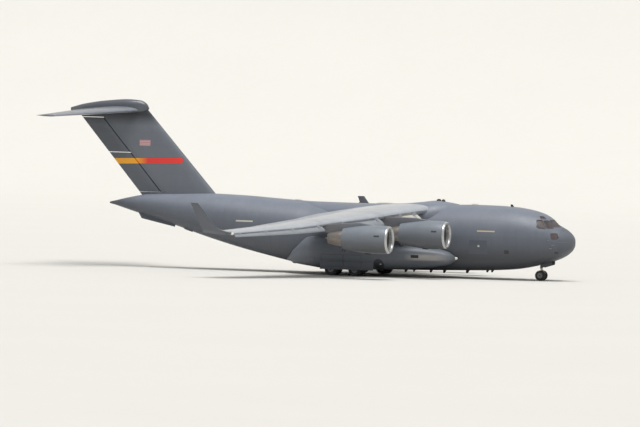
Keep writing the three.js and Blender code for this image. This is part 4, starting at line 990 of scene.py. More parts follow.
# The tailplane's lighter grey is a painted highlight, and the bullet's darker grey is painted shade.
level_paint = make_tail_paint("tailplane_paint", (124, 129, 138), False)
bullet_paint = make_tail_paint("bullet_paint", (82, 87, 95), False)
engine_paint = make_engine_paint()
pylon_paint = make_pylon_paint()
pod_paint = make_pod_paint()
lip_metal = make_lip_metal()
core_metal = make_core_metal()
fan_metal = make_fan_metal()
tyre_rubber = make_tyre()
glass = make_glass()
deck_metal = make_deck_metal()
cabin_paint = make_cabin_paint()
gear_paint = make_gear_paint()
duct_metal = make_plain("duct_metal", (118, 119, 122), 0.5, 0.4, 5.0, 0.1)
dark_metal = make_plain("dark_metal", (52, 53, 55), 0.5, 0.5, 8.0, 0.18, (84, 78, 70))
seal = make_plain("window_seal", (58, 58, 58), 0.7, 0.0, 10.0, 0.15)
bright_metal = make_plain("bright_metal", (176, 176, 172), 0.3, 0.9, 9.0, 0.1)
brake_metal = make_plain("brake_metal", (92, 82, 72), 0.55, 0.7, 12.0, 0.2, (60, 44, 34))
pale_trim = make_plain("pale_trim", (196, 192, 180), 0.5, 0.0, 4.0, 0.1, (150, 146, 138))
lamp_glass = make_plain("lamp_glass", (226, 224, 214), 0.12, 0.0, 9.0, 0.05)
red_glass = make_plain("red_glass", (150, 34, 30), 0.14, 0.0, 9.0, 0.1)
green_glass = make_plain("green_glass", (30, 104, 66), 0.14, 0.0, 9.0, 0.1)
seat_cloth = make_plain("seat_cloth", (74, 82, 74), 0.9, 0.0, 22.0, 0.2)
hub_paint = make_plain("hub_paint", (138, 140, 140), 0.5, 0.2, 7.0, 0.14, (70, 64, 58))
fairing_paint = make_plain("fairing_paint", (122, 128, 137), 0.45, 0.0, 1.2, 0.1, (112, 116, 123))
patch_paint = make_plain("patch_paint", (80, 85, 94), 0.5, 0.0, 2.2, 0.1, (72, 76, 84))
tan_trim = make_plain("tan_trim", (196, 176, 146), 0.5, 0.0, 4.0, 0.12, (160, 140, 120))
hull_skin = [hull_paint, cabin_paint]


# Hull


def oval(station, half, bottom, top, sides, low_power, high_power):
    ring = []
    for angle in circle(sides):
        c, s = math.cos(angle), math.sin(angle)
        power = 2 / (low_power if s < 0 else high_power)
        height = (bottom + top) / 2 + (top - bottom) / 2 * bulge(s, power)
        ring.append(place(station, half * bulge(c, power), height))
    return ring


def hull_at(station, inset=0.0):
    row = row_at(HULL, station, through)
    return row["half"] - inset, row["bottom"] + inset, row["top"] - inset


def hull_ring(station, inset=0.0):
    return oval(station, *hull_at(station, inset), HULL_SIDES, LOWER_SQUARENESS, UPPER_SQUARENESS)


def hull_stations(start, end):
    found = {start, end}
    for low, high, pitch in ((0, 0.12, 0.02), (0.12, 1.2, 0.09), (1.2, 6, 0.2), (6, 60, 0.55)):
        found.update(s for s in steps(low, high, pitch) if start < s < end)
    return sorted(s for s in found if s in (start, end) or s < HULL_END)


def hull_solid(start, end, inset=0.0):
    return loft([hull_ring(s, inset) for s in hull_stations(start, end)])


def hull_shell(start, end, inset=0.0, wall=WALL):
    """A stretch of the hull's skin, open at both ends. Its inside has material number 1."""
    stations = hull_stations(start, end)
    rings = [hull_ring(s, inset) for s in stations]
    rings += [hull_ring(s, inset + wall) for s in stations[::-1]]
    shape = loft(rings, False, [0] * len(stations) + [1] * len(stations))
    last = len(shape.points) - HULL_SIDES
    for i in range(HULL_SIDES):
        j = (i + 1) % HULL_SIDES
        shape.faces.append(([last + i, last + j, j, i], 0))
    return shape


def skin(station, z, side, lift=0.0):
    """A point on the hull's side at a station and height, raised along the surface's normal."""

    def bare(s, h):
        half, bottom, top = hull_at(s)
        rise = (h - (bottom + top) / 2) / ((top - bottom) / 2)
        power = LOWER_SQUARENESS if rise < 0 else UPPER_SQUARENESS
        across = max(0.0, 1 - min(1.0, abs(rise)) ** power) ** (1 / power)
        return place(s, side * half * across, h)

    ahead = bare(station - 0.02, z) - bare(station + 0.02, z)
    rise = bare(station, z + 0.02) - bare(station, z - 0.02)
    normal = ahead.cross(rise).normalized()
    if normal.y * side < 0:
        normal.negate()
    return bare(station, z) + normal * lift * SCALE


def hull_patch(s0, s1, z0, z1, side, lift):
    """A thin plate that follows the hull's side."""
    grids = []
    for high in (lift, -PATCH_DEPTH):
        grids.append([[skin(s, z, side, high) for s in steps(s0, s1, 0.25)] for z in steps(z0, z1, 0.25)])
    return grid_plate(*grids)


def pane_prism(corners, grow, side):
    """What cuts one window out: its outline, drawn out from a line inside the flight deck."""
    middle_a = sum(a for a, _ in corners) / len(corners)
    middle_z = sum(z for _, z in corners) / len(corners)
    flat = []
    for a, z in corners:
        wide = math.copysign(math.degrees(grow / PANE_ARC), a - middle_a)
        flat.append((math.radians(a + wide) * PANE_ARC, z + math.copysign(grow, z - middle_z)))
    outline = [(arc / PANE_ARC, z) for arc, z in rounded(flat, 0.11 + grow, 4)]
    rings = []
    for reach in (0.6, 5.0):
        spots = [(reach * math.cos(angle), -side * reach * math.sin(angle), z) for angle, z in outline]
        rings.append([place(PANE_POST - ahead, y, z) for ahead, y, z in spots])
    return loft(rings)


def panes(grow):
    return joined(pane_prism(corners, grow, side) for corners in PANES.values() for side in (-1, 1))


def underside(station):
    return through(HULL, station, "bottom")


def doorway(door, before=0.0, after=0.0, beside=0.0, height="clear"):
    """The block that holds a door under the tail, grown at its edges."""
    start, end, half = door["start"] - before, door["end"] + after, door["half"] + beside
    outline = [(start, -0.5), (start, underside(start) + door[height])]
    outline += [(end, underside(end) + door[height]), (end, -0.5 + underside(end))]
    return plate(outline, -half, half)


def make_nose():
    piece("radome", hull_solid(0.0, RADOME_END - RADOME_GAP), radome_paint, "radome_paint")
    nose = mesh_object(hull_shell(RADOME_END, NOSE_END - JOINT_GAP))
    skin_depth, start, end, half, roof = (BAY[key] for key in ("skin", "start", "end", "half", "roof"))
    wide = half + skin_depth
    block = box(start - skin_depth, end + skin_depth, -wide, wide, 0.5, roof)
    liner = carve(hull_solid(RADOME_END + 0.1, NOSE_END), block, "INTERSECT")
    for face in liner.data.polygons:
        face.material_index = 0
    carve(nose, liner, "UNION")
    carve(nose, box(start, end, -half, half, 0.4, roof - skin_depth))
    carve(nose, panes(0.0))
    piece("nose_section", nose, hull_skin, "hull_paint")
    windows = hull_shell(RADOME_END + 0.1, NOSE_END, 0.035, 0.035)
    piece("cockpit_glazing", carve(windows, panes(0.004), "INTERSECT"), glass, "glass")
    rims = hull_shell(RADOME_END + 0.1, NOSE_END, -0.006, 0.05)
    piece("window_frames", carve(rims, carve(panes(0.05), panes(-0.012)), "INTERSECT"), seal)


def crew_doorway(grow, raised):
    s0, s1 = CREW_DOOR["start"] - grow, CREW_DOOR["end"] + grow
    z0, z1 = CREW_DOOR["low"] - grow + raised, CREW_DOOR["high"] + grow
    outline = rounded([(s0, z0), (s1, z0), (s1, z1), (s0, z1)], 0.12)
    return plate(outline, CREW_DOOR["near"], CREW_DOOR["far"])


def make_middle():
    forward = carve(hull_shell(NOSE_END, FORWARD_END - JOINT_GAP), crew_doorway(DOOR_GAP, 0))
    piece("fuselage_forward", forward, hull_skin, "hull_paint")
    leaf = carve(hull_shell(NOSE_END, 7.0), crew_doorway(0, 0.02), "INTERSECT")
    piece("crew_door", leaf, hull_skin, "hull_paint", True)
    piece("fuselage_centre", hull_shell(FORWARD_END, CENTRE_END - JOINT_GAP), hull_skin, "hull_paint")


def aft_body():
    """The tail, hollow from its front to near its end."""
    stations = hull_stations(CENTRE_END, HULL_END)
    outer = [hull_ring(s) for s in stations]
    inner = [hull_ring(s, WALL) for s in stations[::-1] if s < HOLLOW_END]
    return loft(inner + outer, slots=[1] * (len(inner) - 1) + [0] * (len(outer) + 1))


def ramp_hinge():
    s, h = RAMP["start"], HINGE
    z = underside(s) - h["drop"]
    e, root = h["lug"], h["root"]
    lug = [(-0.09, -e), (e, -e), (e, e), (-0.02, e), (-0.02, root), (-0.09, root)]
    arm = [(-e, -e), (0.25, 0), (0.25, root + 0.07), (0.01, root), (-e, 0.02)]
    arms = plate(arm, h["middle"] + 0.006, h["far"], s, z)
    pin = rod(place(s, h["near"] - 0.01, z), place(s, h["middle"] + 0.02, z), h["pin"], 12)
    return plate(lug, h["near"], h["middle"], s, z), joined([arms, pin])


def door_arm():
    start, end = DOOR_ARM["start"], CARGO_DOOR["end"]
    top = underside(end) + CARGO_DOOR["pivot"]
    low = underside(start)
    outline = [(start, low + 0.06), (end - 0.04, underside(end) + 0.04), (end + 0.07, top - 0.04)]
    outline += [(end + 0.05, top + 0.07), (end - 0.1, top + 0.05), (start, low + 0.3)]
    arm = plate(outline, DOOR_ARM["near"], DOOR_ARM["far"])
    pin = rod(place(end, DOOR_ARM["near"], top), place(end, DOOR_ARM["reach"], top), DOOR_ARM["pin"])
    return joined([arm, pin])


def strake():
    def spot(s, z, side):
        out = STRAKE["y"] + (STRAKE_OUTLINE[0][1] - z) * math.tan(STRAKE["lean"])
        return place(s, out + side * STRAKE["thick"] / 2, z)

    return loft([[spot(s, z, side) for s, z in STRAKE_OUTLINE] for side in (-1, 1)])


def make_aft():
    aft = carve(aft_body(), doorway(RAMP, DOOR_GAP, 0.05, DOOR_GAP))
    carve(aft, doorway(CARGO_DOOR, 0.06, DOOR_GAP, DOOR_GAP))
    lug, arm = ramp_hinge()
    station = CARGO_DOOR["end"]
    z = underside(station) + CARGO_DOOR["pivot"]
    ends = (DOOR_ARM["far"] + 0.04, through(HULL, station, "half") - 0.06)
    boss = rod(*(place(station, y, z) for y in ends), DOOR_ARM["boss"], 20)
    extras = pair(joined([lug, boss, strake()]))
    piece("fuselage_aft", joined([take_shape(aft), *extras]), hull_skin, "hull_paint")
    leaf = carve(hull_shell(RAMP["start"], RAMP["end"]), doorway(RAMP), "INTERSECT")
    deck = hull_solid(RAMP["start"], RAMP["end"] - 0.1)
    deck = carve(deck, doorway(RAMP, after=-0.1, height="depth"), "INTERSECT")
    for face in deck.data.polygons:
        face.material_index = 1 if face.normal.z > 0.5 else 0
    carve(leaf, deck, "UNION")
    made = joined([take_shape(leaf), *pair(arm)])
    piece("loading_ramp", made, [hull_paint, deck_metal], "hull_paint", True)
    leaf = carve(hull_shell(CARGO_DOOR["start"], CARGO_DOOR["end"]), doorway(CARGO_DOOR), "INTERSECT")
    piece("cargo_door", joined([take_shape(leaf), *pair(door_arm())]), hull_skin, "hull_paint", True)


# Wing


def foil(x, column):
    """Height of the wing section's upper or lower side, as a share of its thickness."""
    return through(AEROFOIL_CURVE, math.sqrt(x), column)


def foil_samples(start, count):
    low = math.sqrt(start)
    return [(low + (1 - low) * i / count) ** 2 for i in range(count + 1)]


def on_chord(row, share, high=0.0):
    """A point in a twisted section, by its share of the chord and its height over it."""
    angle = math.radians(row.get("twist", 0))
    along = (share - 0.25) * row["chord"]
    s = row["lead"] + 0.25 * row["chord"] + along * math.cos(angle) + high * math.sin(angle)
    return place(s, row["y"], row["z"] - along * math.sin(angle) + high * math.cos(angle))


def foil_ring(row, start=0.0, count=22):
    xs = foil_samples(start, count)
    section = [(x, foil(x, "up")) for x in xs]
    section += [(x, -foil(x, "down")) for x in xs[::-1] if x > 0]
    return [on_chord(row, x, t * row["thick"]) for x, t in section]


def pivots(rows, ends, share, lift):
    """The two ends of a moving surface's hinge line."""
    for y in ends:
        row = row_at(rows, y)
        yield on_chord(row, share) + Vector((0, 0, lift * row["thick"] * SCALE))


def hinge_prism(a, b, outline, overrun=0.0):
    along = (b - a).normalized()
    up = along.cross(Vector((-1, 0, 0))).normalized()
    if up.z < 0:
        up.negate()
    back = up.cross(along).normalized()
    if back.x > 0:
        back.negate()
    ends = (a - along * overrun * SCALE, b + along * overrun * SCALE)
    return loft([[base + back * x * SCALE + up * z * SCALE for x, z in outline] for base in ends])


def control(fixed, solid, a, b, bevel):
    """Cuts a moving surface's place out of what carries it, and the surface out of a copy of it."""
    h, g, far = 1.6, -CONTROL_GAP, 4
    carve(fixed, hinge_prism(a, b, [(g, -h), (g, h), (far, h), (far, -h)], CONTROL_GAP))
    slant = h * math.tan(math.radians(bevel))
    outline = [(0, 0), (slant, h), (far, h), (far, -h), (slant, -h)]
    return take_shape(carve(solid, hinge_prism(a, b, outline), "INTERSECT"))


def end_pins(a, b):
    along = (b - a).normalized() * SCALE
    pins = []
    for end, way in ((a, -along), (b, along)):
        pins.append(rod(end - way * PIN["overlap"], end + way * PIN["reach"], PIN["radius"], 12))
    return joined(pins)


def flap_hinge(a, b, y):
    h = FLAP_HINGE
    along = (b - a).normalized()
    middle = a.lerp(b, (y * SCALE - a.y) / (b.y - a.y))
    rise = 0.25 * straight(WING, y, "thick") + 0.08
    e = h["ear"]
    lug = [(-0.2, -e), (e * 0.6, -e), (e, 0), (e * 0.6, e), (-0.2, e)]
    arm = [(-0.022, -0.03), (0.03, -0.03), (0.25, rise), (0.01, rise), (-0.022, 0.02)]

    def spot(out):
        return middle + along * out * SCALE

    lugs = hinge_prism(spot(-h["lug"]), spot(h["lug"]), lug)
    arms = hinge_prism(spot(h["near"]), spot(h["far"]), arm)
    pin = rod(spot(-h["lug"] - 0.01), spot(h["near"] + 0.01), h["pin"], 12)
    return lugs, joined([arms, pin])


def canoe(y):
    """The streamlined fairing under one flap hinge."""
    row = row_at(WING, y)
    low = row["z"] - 0.3 * row["thick"]
    s0 = row["lead"] + 0.45 * row["chord"]
    s1 = row["lead"] + FLAP_SHARE * row["chord"] - 0.11
    drop = 0.09 * row["chord"]
    top = low + 0.13
    rings = []
    for t in (0.0, 0.04, 0.1, 0.2, 0.35, 0.5, 0.65, 0.8, 0.92, 1.0):
        deep = math.sin(math.pi * min(1.0, t * 1.5 + 0.02) / 2) ** 0.7 - max(0, t - 0.8)
        keel = low + 0.02 - drop * deep
        half = 0.16 * min(1.0, 0.15 + 2.4 * t) ** 0.6
        ring = []
        for angle in (math.pi * i / 15 for i in range(16)):
            height = top - (top - keel) * math.sin(angle) ** 0.8
            ring.append(place(s0 + (s1 - s0) * t, y - half * math.cos(angle), height))
        rings.append(ring)
    return loft(rings)


def winglet():
    rings = []
    for k in range(13):
        row = row_at(WINGLET, k / 6, through)
        y, z = row["y"] * SCALE, row["z"] * SCALE
        ring = []
        for p in foil_ring(row, count=16):
            high = p.z - z
            ring.append(Vector((p.x, y - high * math.sin(row["lean"]), z + high * math.cos(row["lean"]))))
        rings.append(ring)
    return loft(rings)


def wing_solid():
    return loft([foil_ring(row_at(WING, y), NOSE_SPAR) for y in WING_SECTIONS])


def make_wing():
    wing = mesh_object(wing_solid())
    lugs = []
    for name, ends in FLAPS.items():
        a, b = pivots(WING, ends, FLAP_SHARE, FLAP_PIVOT)
        parts = [control(wing, wing_solid(), a, b, 0)]
        for y in HINGE_FAIRINGS:
            if ends[0] < y < ends[1]:
                lug, arm = flap_hinge(a, b, y)
                lugs.append(lug)
                parts.append(arm)
        piece("flap_" + name + "_#", joined(parts), wing_paint, "wing_paint", True)
    a, b = pivots(WING, (AILERON["inner"], AILERON["outer"]), AILERON["share"], SURFACE_LIFT)
    leaf = control(wing, wing_solid(), a, b, AILERON["travel"] + 4)
    piece("aileron_#", joined([leaf, end_pins(a, b)]), wing_paint, "wing_paint", True)
    carve(wing, hull_solid(*HULL_CUTS["wing"]))
    fairings = joined([canoe(y) for y in HINGE_FAIRINGS] + lugs).slot(1)
    made = joined([take_shape(wing), winglet(), fairings])
    piece("wing_#", made, [wing_paint, fairing_paint], "wing_paint")


def slat_ring(y):
    row = row_at(WING, y)
    reach = SLAT_OUT["reach"]
    thick, chord = row["thick"], row["chord"]
    upper = [reach, 0.115, 0.095, 0.075, 0.058, 0.042, 0.028, 0.017, 0.009, 0.003]
    outline = [(x, foil(x, "up")) for x in upper]
    outline += [(x, -foil(x, "down")) for x in (0.0, 0.003, 0.009, 0.018, 0.027, 0.035)]
    outline += [(0.04, -0.12), (0.045, 0.0), (0.055, 0.1), (0.075, 0.23), (0.1, foil(0.1, "up") - 0.06)]
    turn = math.radians(SLAT_OUT["turn"] - row["twist"])
    tail, rear = reach * chord, foil(reach, "up") * thick
    ring = []
    for x, h in outline:
        dx, dh = x * chord - tail, h * thick - rear
        s = tail + dx * math.cos(turn) - dh * math.sin(turn) - SLAT_OUT["forward"] * chord
        z = rear + dh * math.cos(turn) + dx * math.sin(turn) - SLAT_OUT["down"] * chord
        ring.append(place(row["lead"] + s, y, row["z"] + z - SLAT_OUT["hang"]))
    return ring


def slat_bracket(y):
    row = row_at(WING, y)
    low = -0.02 * row["thick"] - SLAT_OUT["hang"]
    outline = [(0.062, 0.2, 0), (0.02, 0.16, 0), (-0.02, 0, low), (0.04, -0.08, low), (0.075, -0.1, 0)]
    outline = [(x * row["chord"], t * row["thick"] + z) for x, t, z in outline]
    return plate(outline, y - 0.04, y + 0.04, row["lead"], row["z"])


def make_leading_edge():
    spar = NOSE_SPAR + 0.002
    outline = [(spar, foil(NOSE_SPAR, "up")), (spar, -foil(NOSE_SPAR, "down"))]
    outline += [(0.07, -0.31), (0.05, -0.25), (0.036, -0.17), (0.028, -0.08), (0.024, 0.0)]
    outline += [(0.028, 0.09), (0.036, 0.19), (0.05, 0.28), (0.07, 0.35)]
    rows = [row_at(WING, y) for y in WING_SECTIONS]
    nose = loft([[on_chord(row, x, t * row["thick"]) for x, t in outline] for row in rows])
    parts = [take_shape(carve(nose, hull_solid(*HULL_CUTS["wing"]))).slot(1)]
    for inner, outer in SLATS:
        parts.append(loft([slat_ring(y) for y in steps(inner, outer, 1.2)]))
        parts += [slat_bracket(y).slot(1) for y in steps(inner + 0.5, outer - 0.5, 4.2)]
    piece("leading_edge_#", joined(parts), [slat_paint, wing_paint], "wing_paint")


def make_spoilers():
    """Thin panels on the wing's upper side, ahead of the flaps."""
    xs = [SPOILERS["front"] + (SPOILERS["back"] - SPOILERS["front"]) * i / 8 for i in range(9)]
    parts = []
    for ends in SPOILERS["spans"]:
        rows = [row_at(WING, y) for y in steps(*ends, 0.6)]
        grids = []
        for lift in (0.014, -PATCH_DEPTH):
            grids.append([[on_chord(r, x, foil(x, "up") * r["thick"] + lift) for x in xs] for r in rows])
        parts.append(grid_plate(*grids))
    piece("spoilers_#", joined(parts), wing_paint, "wing_paint", angle=40)


def make_root_fairing():
    rings = []
    for s in steps(12.0, 31.4, 0.4):
        half = through(FAIRING, s, "half") * (0.86 - 0.4 * min(max((s - 22) / 7, 0), 1))
        top = through(FAIRING, s, "top")
        rings.append(oval(s, half, 11.5 - top, top, 64, 2.3, 2.3))
    fairing = carve(loft(rings), hull_solid(*HULL_CUTS["fairing"]))
    piece("wing_root_fairing", fairing, hull_paint, "wing_paint", angle=60)


# Engines


def blade(outline, low, high):
    """A blade out from an engine's line, its section the same all along."""
    return loft([[Vector((-x, y, r)) * SCALE for x, y in outline] for r in (low, high)])


def spokes(centre, count, shape, first=0.0):
    """Copies of a blade all round an engine's line."""
    middle = Matrix.Translation(place(*centre))
    turns = [2 * math.pi * (i + first) / count for i in range(count)]
    return joined([shape.moved(middle @ Matrix.Rotation(turn, 4, "X")) for turn in turns])


def cowl(centre):
    """The cowl with its rounded lip, of lip metal, and its lining."""
    outer = sampled(COWL_OUTER, 0.15)[::-1]
    inner = sampled(COWL_INNER, 0.2)
    depth, outside, inside = inner[0][0], outer[-1][1], inner[0][1]
    rim = []
    for i in range(LIP_ROWS):
        angle = math.pi / 2 - math.pi * i / (LIP_ROWS - 1)
        r = (outside + inside) / 2 + (outside - inside) / 2 * math.sin(angle)
        rim.append((depth - depth * math.cos(angle), r))
    profile = outer[:-1] + rim + inner[1:]
    slots = [0] * len(outer) + [1] * (len(rim) - 1) + [2] * len(inner)
    return turned(profile + profile[:1], 80, "aft", centre, slots)


def make_engine(place_name, spec):
    lip, y, z = spec["lip"], spec["y"], spec["z"]
    centre = (lip, y, z)
    core = [(1.8, 0.0)] + sampled(CORE, 0.15) + [(6.3, 0.5), (6.0, 0.52), (5.4, 0.52), (5.4, 0.33)]
    core += sampled(PLUG, 0.08)[1:]
    parts = [cowl(centre), turned(core, 56, "aft", centre).slot(3)]
    vane = [(x, out + (x - 2.25) * 0.25) for x, out in ((2.08, 0), (2.2, 0.012), (2.42, 0), (2.2, -0.012))]
    parts.append(spokes(centre, 40, blade(vane, 0.5, 1.06), 0.5).slot(2))
    strut = ((5.5, 0), (5.7, 0.03), (5.95, 0), (5.7, -0.03))
    parts.append(spokes(centre, 6, blade(strut, 0.28, 0.53)).slot(3))
    small = []
    for s, out in ((4.55, 0.0), (4.75, 0.12)):
        base = place(lip + s, y + out, z - 1.0)
        small.append(rod(base, base + Vector((-0.06, 0, -0.13)), 0.035, 12))
    scoop = [(1.9, -1.36), (2.0, -1.44), (2.5, -1.42), (2.55, -1.33)]
    small.append(plate(scoop, y - 0.09, y + 0.09, lip, z))
    for at in (1.8, 2.3, 2.8, 3.3, 3.8):
        low = z - through(COWL_OUTER, at + 0.1, "r") - 0.004
        small.append(box(lip + at, lip + at + 0.2, y - 0.03, y + 0.03, low, low + 0.05))
    parts.append(joined(small).slot(4))
    angle = math.radians(52)
    chine = []
    for out in (-0.012, 0.012):
        corners = ((0.75, 1.37), (1.15, 1.62), (1.75, 1.64), (1.85, 1.37))
        spots = [(lip + s, y - r * math.sin(angle) - out, z + r * math.cos(angle)) for s, r in corners]
        chine.append([place(*spot) for spot in spots])
    parts.append(loft(chine))
    finishes = [engine_paint, lip_metal, duct_metal, core_metal, dark_metal]
    piece("engine_" + place_name + "_#", joined(parts), finishes, "engine_paint", angle=40)


def make_fan(place_name, spec):
    lip, y, z = spec["lip"], spec["y"], spec["z"]
    at, nose, hub, back = FAN["at"], FAN["spinner"], FAN["hub"], FAN["back"]

    def spinner(t):
        return nose + (at - nose) * t, hub * t**0.72

    rows = [spinner(i / 11) for i in range(12)]
    rows += [(at + FAN["depth"], hub + 0.06), (back, hub + 0.06), (back, 0.12), (2.05, 0.12), (2.05, 0.0)]
    rings = []
    for t in (k / 6 for k in range(7)):
        r = 0.3 + (FAN["tip"] - 0.3) * t
        lean = 0.35 + 0.75 * t
        wide = 0.1 + 0.02 * math.sin(math.pi * t)
        thick = 0.016 - 0.011 * t
        sweep = 0.03 * math.sin(math.pi * t)
        ring = []
        for u, v in ((-1, 0), (-0.4, 1), (0.3, 0.8), (1, 0), (0.3, -0.5), (-0.4, -0.4)):
            along = u * wide * math.cos(lean) - v * thick * math.sin(lean) + sweep
            across = u * wide * math.sin(lean) + v * thick * math.cos(lean)
            ring.append(Vector((-(at + 0.12 + along), across, r)) * SCALE)
        rings.append(ring)
    swirl = []
    for k in range(15):
        t = 0.12 + 0.8 * k / 14
        s, r = spinner(t)
        r += 0.004
        wide = 0.035 * math.sin(math.pi * k / 14) + 0.004
        ring = []
        for side, sunk in ((-1, 0), (-1, 0.02), (1, 0.02), (1, 0)):
            angle = 1.6 * t + side * wide / max(r, 0.05)
            ring.append(place(lip + s, y + (r - sunk) * math.sin(angle), z + (r - sunk) * math.cos(angle)))
        swirl.append(ring)
    parts = [turned(rows, 40, "aft", (lip, y, z)), spokes((lip, y, z), FAN["blades"], loft(rings))]
    parts.append(loft(swirl).slot(1))
    piece("fan_" + place_name + "_#", joined(parts), [fan_metal, pale_trim], "fan_metal", True, 35)


def make_pylon(place_name, spec):
    lip, y, z = spec["lip"], spec["y"], spec["z"]
    row = row_at(WING, y)
    lead, chord = row["lead"], row["chord"]
    start, end = lip + 1.25, lead + 0.5 * chord
    under = row["z"] - 0.3 * row["thick"] - 0.1
    top = [(start, z + 1.3), (lip + 3.2, z + 1.62), (lead + 0.02 * chord, row["z"] + 0.02), (end, row["z"])]
    low = [(start, z + 1.1), (lip + 4.4, z + 0.7), (lip + 6.2, z + 0.45), (lip + 7.6, z + 0.78), (end, under)]
    top, low = table("s z", *top), table("s z", *low)
    rings = []
    for s in steps(start, end, 0.25):
        high, deep = straight(top, s, "z"), straight(low, s, "z")
        front, back = (s - start) / 1.2, (end - s) / 1.8
        half = 0.2 * min(1.0, max(0.1, front)) ** 0.6 * min(1.0, max(0.12, back)) ** 0.6
        rounding = min(0.09, (high - deep) * 0.3)
        ring = []
        for angle in circle(20):
            c, n = math.cos(angle), math.sin(angle)
            rise = rounding * n + ((high - rounding) if n >= 0 else (deep + rounding))
            ring.append(place(s, y + bulge(c, 0.45) * half, rise))
        rings.append(ring)
    piece("pylon_" + place_name + "_#", mesh_object(loft(rings)), pylon_paint, "engine_paint", angle=35)


# Landing gear


def pod_body():
    start, end = POD[0]["station"], POD[-1]["station"]
    rings = []
    for s in sorted(set(steps(start, end, 0.3)) | {11.1, 11.2, 28.7}):
        out, bottom, top = (through(POD, s, column) for column in ("out", "bottom", "top"))
        inner = straight(POD, s, "inner")
        near = min(1.0, (s - start) / 0.9 + 0.02, (end - s) / 0.9 + 0.02) ** 0.5
        middle, tall = (bottom + top) / 2, (top - bottom) / 2 * near
        root = inner + 0.35
        ring = []
        for angle in (-math.pi / 2 + math.pi * i / 40 for i in range(41)):
            across = max(0.0, math.cos(angle)) ** (2 / POD_SQUARENESS)
            rise = bulge(math.sin(angle), 2 / POD_SQUARENESS)
            ring.append(place(s, root + (out - root) * across * near, middle + tall * rise))
        rings.append(ring + [place(s, inner, middle + tall), place(s, inner, middle - tall)])
    return loft(rings)


def make_pods():
    pod = carve(pod_body(), hull_solid(*HULL_CUTS["pod"]))
    carve(pod, box(WELL["start"], WELL["end"], WELL["inner"], WELL["outer"], 0, WELL["deck"]))
    piece("gear_pod_#", joined([take_shape(pod), box(*POD_DOOR)]), pod_paint, "hull_paint", angle=38)


def wheel(station, y, tyre, axle):
    """A tyre with its grooves, and its rim, hub and bolts."""
    radius, w = tyre["radius"], tyre["width"] / 2
    rows = [(-0.55, axle / radius + 0.1 / radius, 1), (-0.6, 0.3, 1), (-0.72, 0.34, 1), (-0.74, 0.5, 1)]
    rows += [(-0.86, 0.53, 0), (-0.97, 0.62, 0), (-1.0, 0.74, 0), (-0.96, 0.87, 0)]
    rows += [(-0.86, 0.945, 0), (-0.72, 0.985, 0)]
    for groove in (-0.48, -0.16, 0.16, 0.48):
        for step, depth in ((-0.05, 1.0), (-0.035, 0.972), (0.035, 0.972), (0.05, 1.0)):
            rows.append((groove + step, depth, 0))
    rows += [(-a, r, slot) for a, r, slot in rows[9::-1]]
    profile = [(a * w, r * radius) for a, r, _ in rows]
    profile = [(profile[0][0], 0.0), *profile, (profile[-1][0], 0.0)]
    parts = [turned(profile, 64, "across", (station, y, radius), [1] + [slot for _, _, slot in rows])]
    r = 0.4 * radius
    for side in (-1, 1):
        for angle in circle(10):
            spot = (station + r * math.cos(angle), y + side * w * 0.56, radius + r * math.sin(angle))
            parts.append(cylinder(0.022, 0.09, 10, "across", spot, 0.006).slot(2))
    return joined(parts)


def make_wheel_set(label, station, y, tyre, places, axle):
    """Wheels side by side on one axle."""
    pitch, radius = tyre["pitch"], tyre["radius"]
    parts = [wheel(station, y + at * pitch, tyre, axle) for at in places]
    span = (places[-1] - places[0]) * pitch + tyre["width"] + 0.06
    parts.append(cylinder(axle, span, 32, "across", (station, y, radius), 0.01).slot(2))
    piece(label, joined(parts), [tyre_rubber, hub_paint, dark_metal], "tyre", True, 40)


def make_wheels():
    for row, station in MAIN_ROWS.items():
        make_wheel_set("main_wheels_" + row + "_#", station, TRACK_HALF, MAIN_TYRE, (-1, 0, 1), 0.09)
    make_wheel_set("nose_wheels", NOSE_GEAR, 0, NOSE_TYRE, (-0.5, 0.5), 0.06)


def make_main_leg(row, s):
    y, r = TRACK_HALF, MAIN_TYRE["radius"]
    top = WELL["deck"] - 0.001
    parts = [box(s - 0.16, s + 0.16, y - 0.5, y + 0.5, 1.36, 1.56)]
    parts.append(cylinder(0.17, top - 1.5, 40, "up", (s, y, (top + 1.5) / 2), 0.01))
    cheek = [(-0.07, 0.5), (0.07, 0.5), (0.14, 0.7), (0.14, 1.5), (-0.14, 1.5), (-0.14, 0.7)]
    for out in (y - 0.38, y + 0.38):
        parts.append(plate(cheek, out - 0.045, out + 0.045, s))
        parts.append(cylinder(0.17, 0.09, 36, "across", (s, out, r), 0.012))
        for inset in (-0.062, 0.062):
            parts.append(cylinder(0.235, 0.02, 40, "across", (s, out + inset, r), 0.004).slot(2))
    hose = [(0.15, 1.5), (0.2, 1.2), (0.18, 0.9), (0.1, 0.72)]
    for way in (-1, 1):
        brace = rod(place(s + way * 0.13, y, 1.46), place(s + way * 0.55, y, top - 0.02), 0.045, 20)
        parts.append(brace.slot(1))
        for out in (y - 0.3, y + 0.3):
            spots = [place(s + way * at, out, z) for at, z in hose]
            parts += [rod(a, b, 0.014, 10).slot(3) for a, b in zip(spots, spots[1:])]
    finishes = [gear_paint, bright_metal, brake_metal, dark_metal]
    piece("main_leg_" + row + "_#", joined(parts), finishes, "gear_paint", angle=35, bevel=0.008)


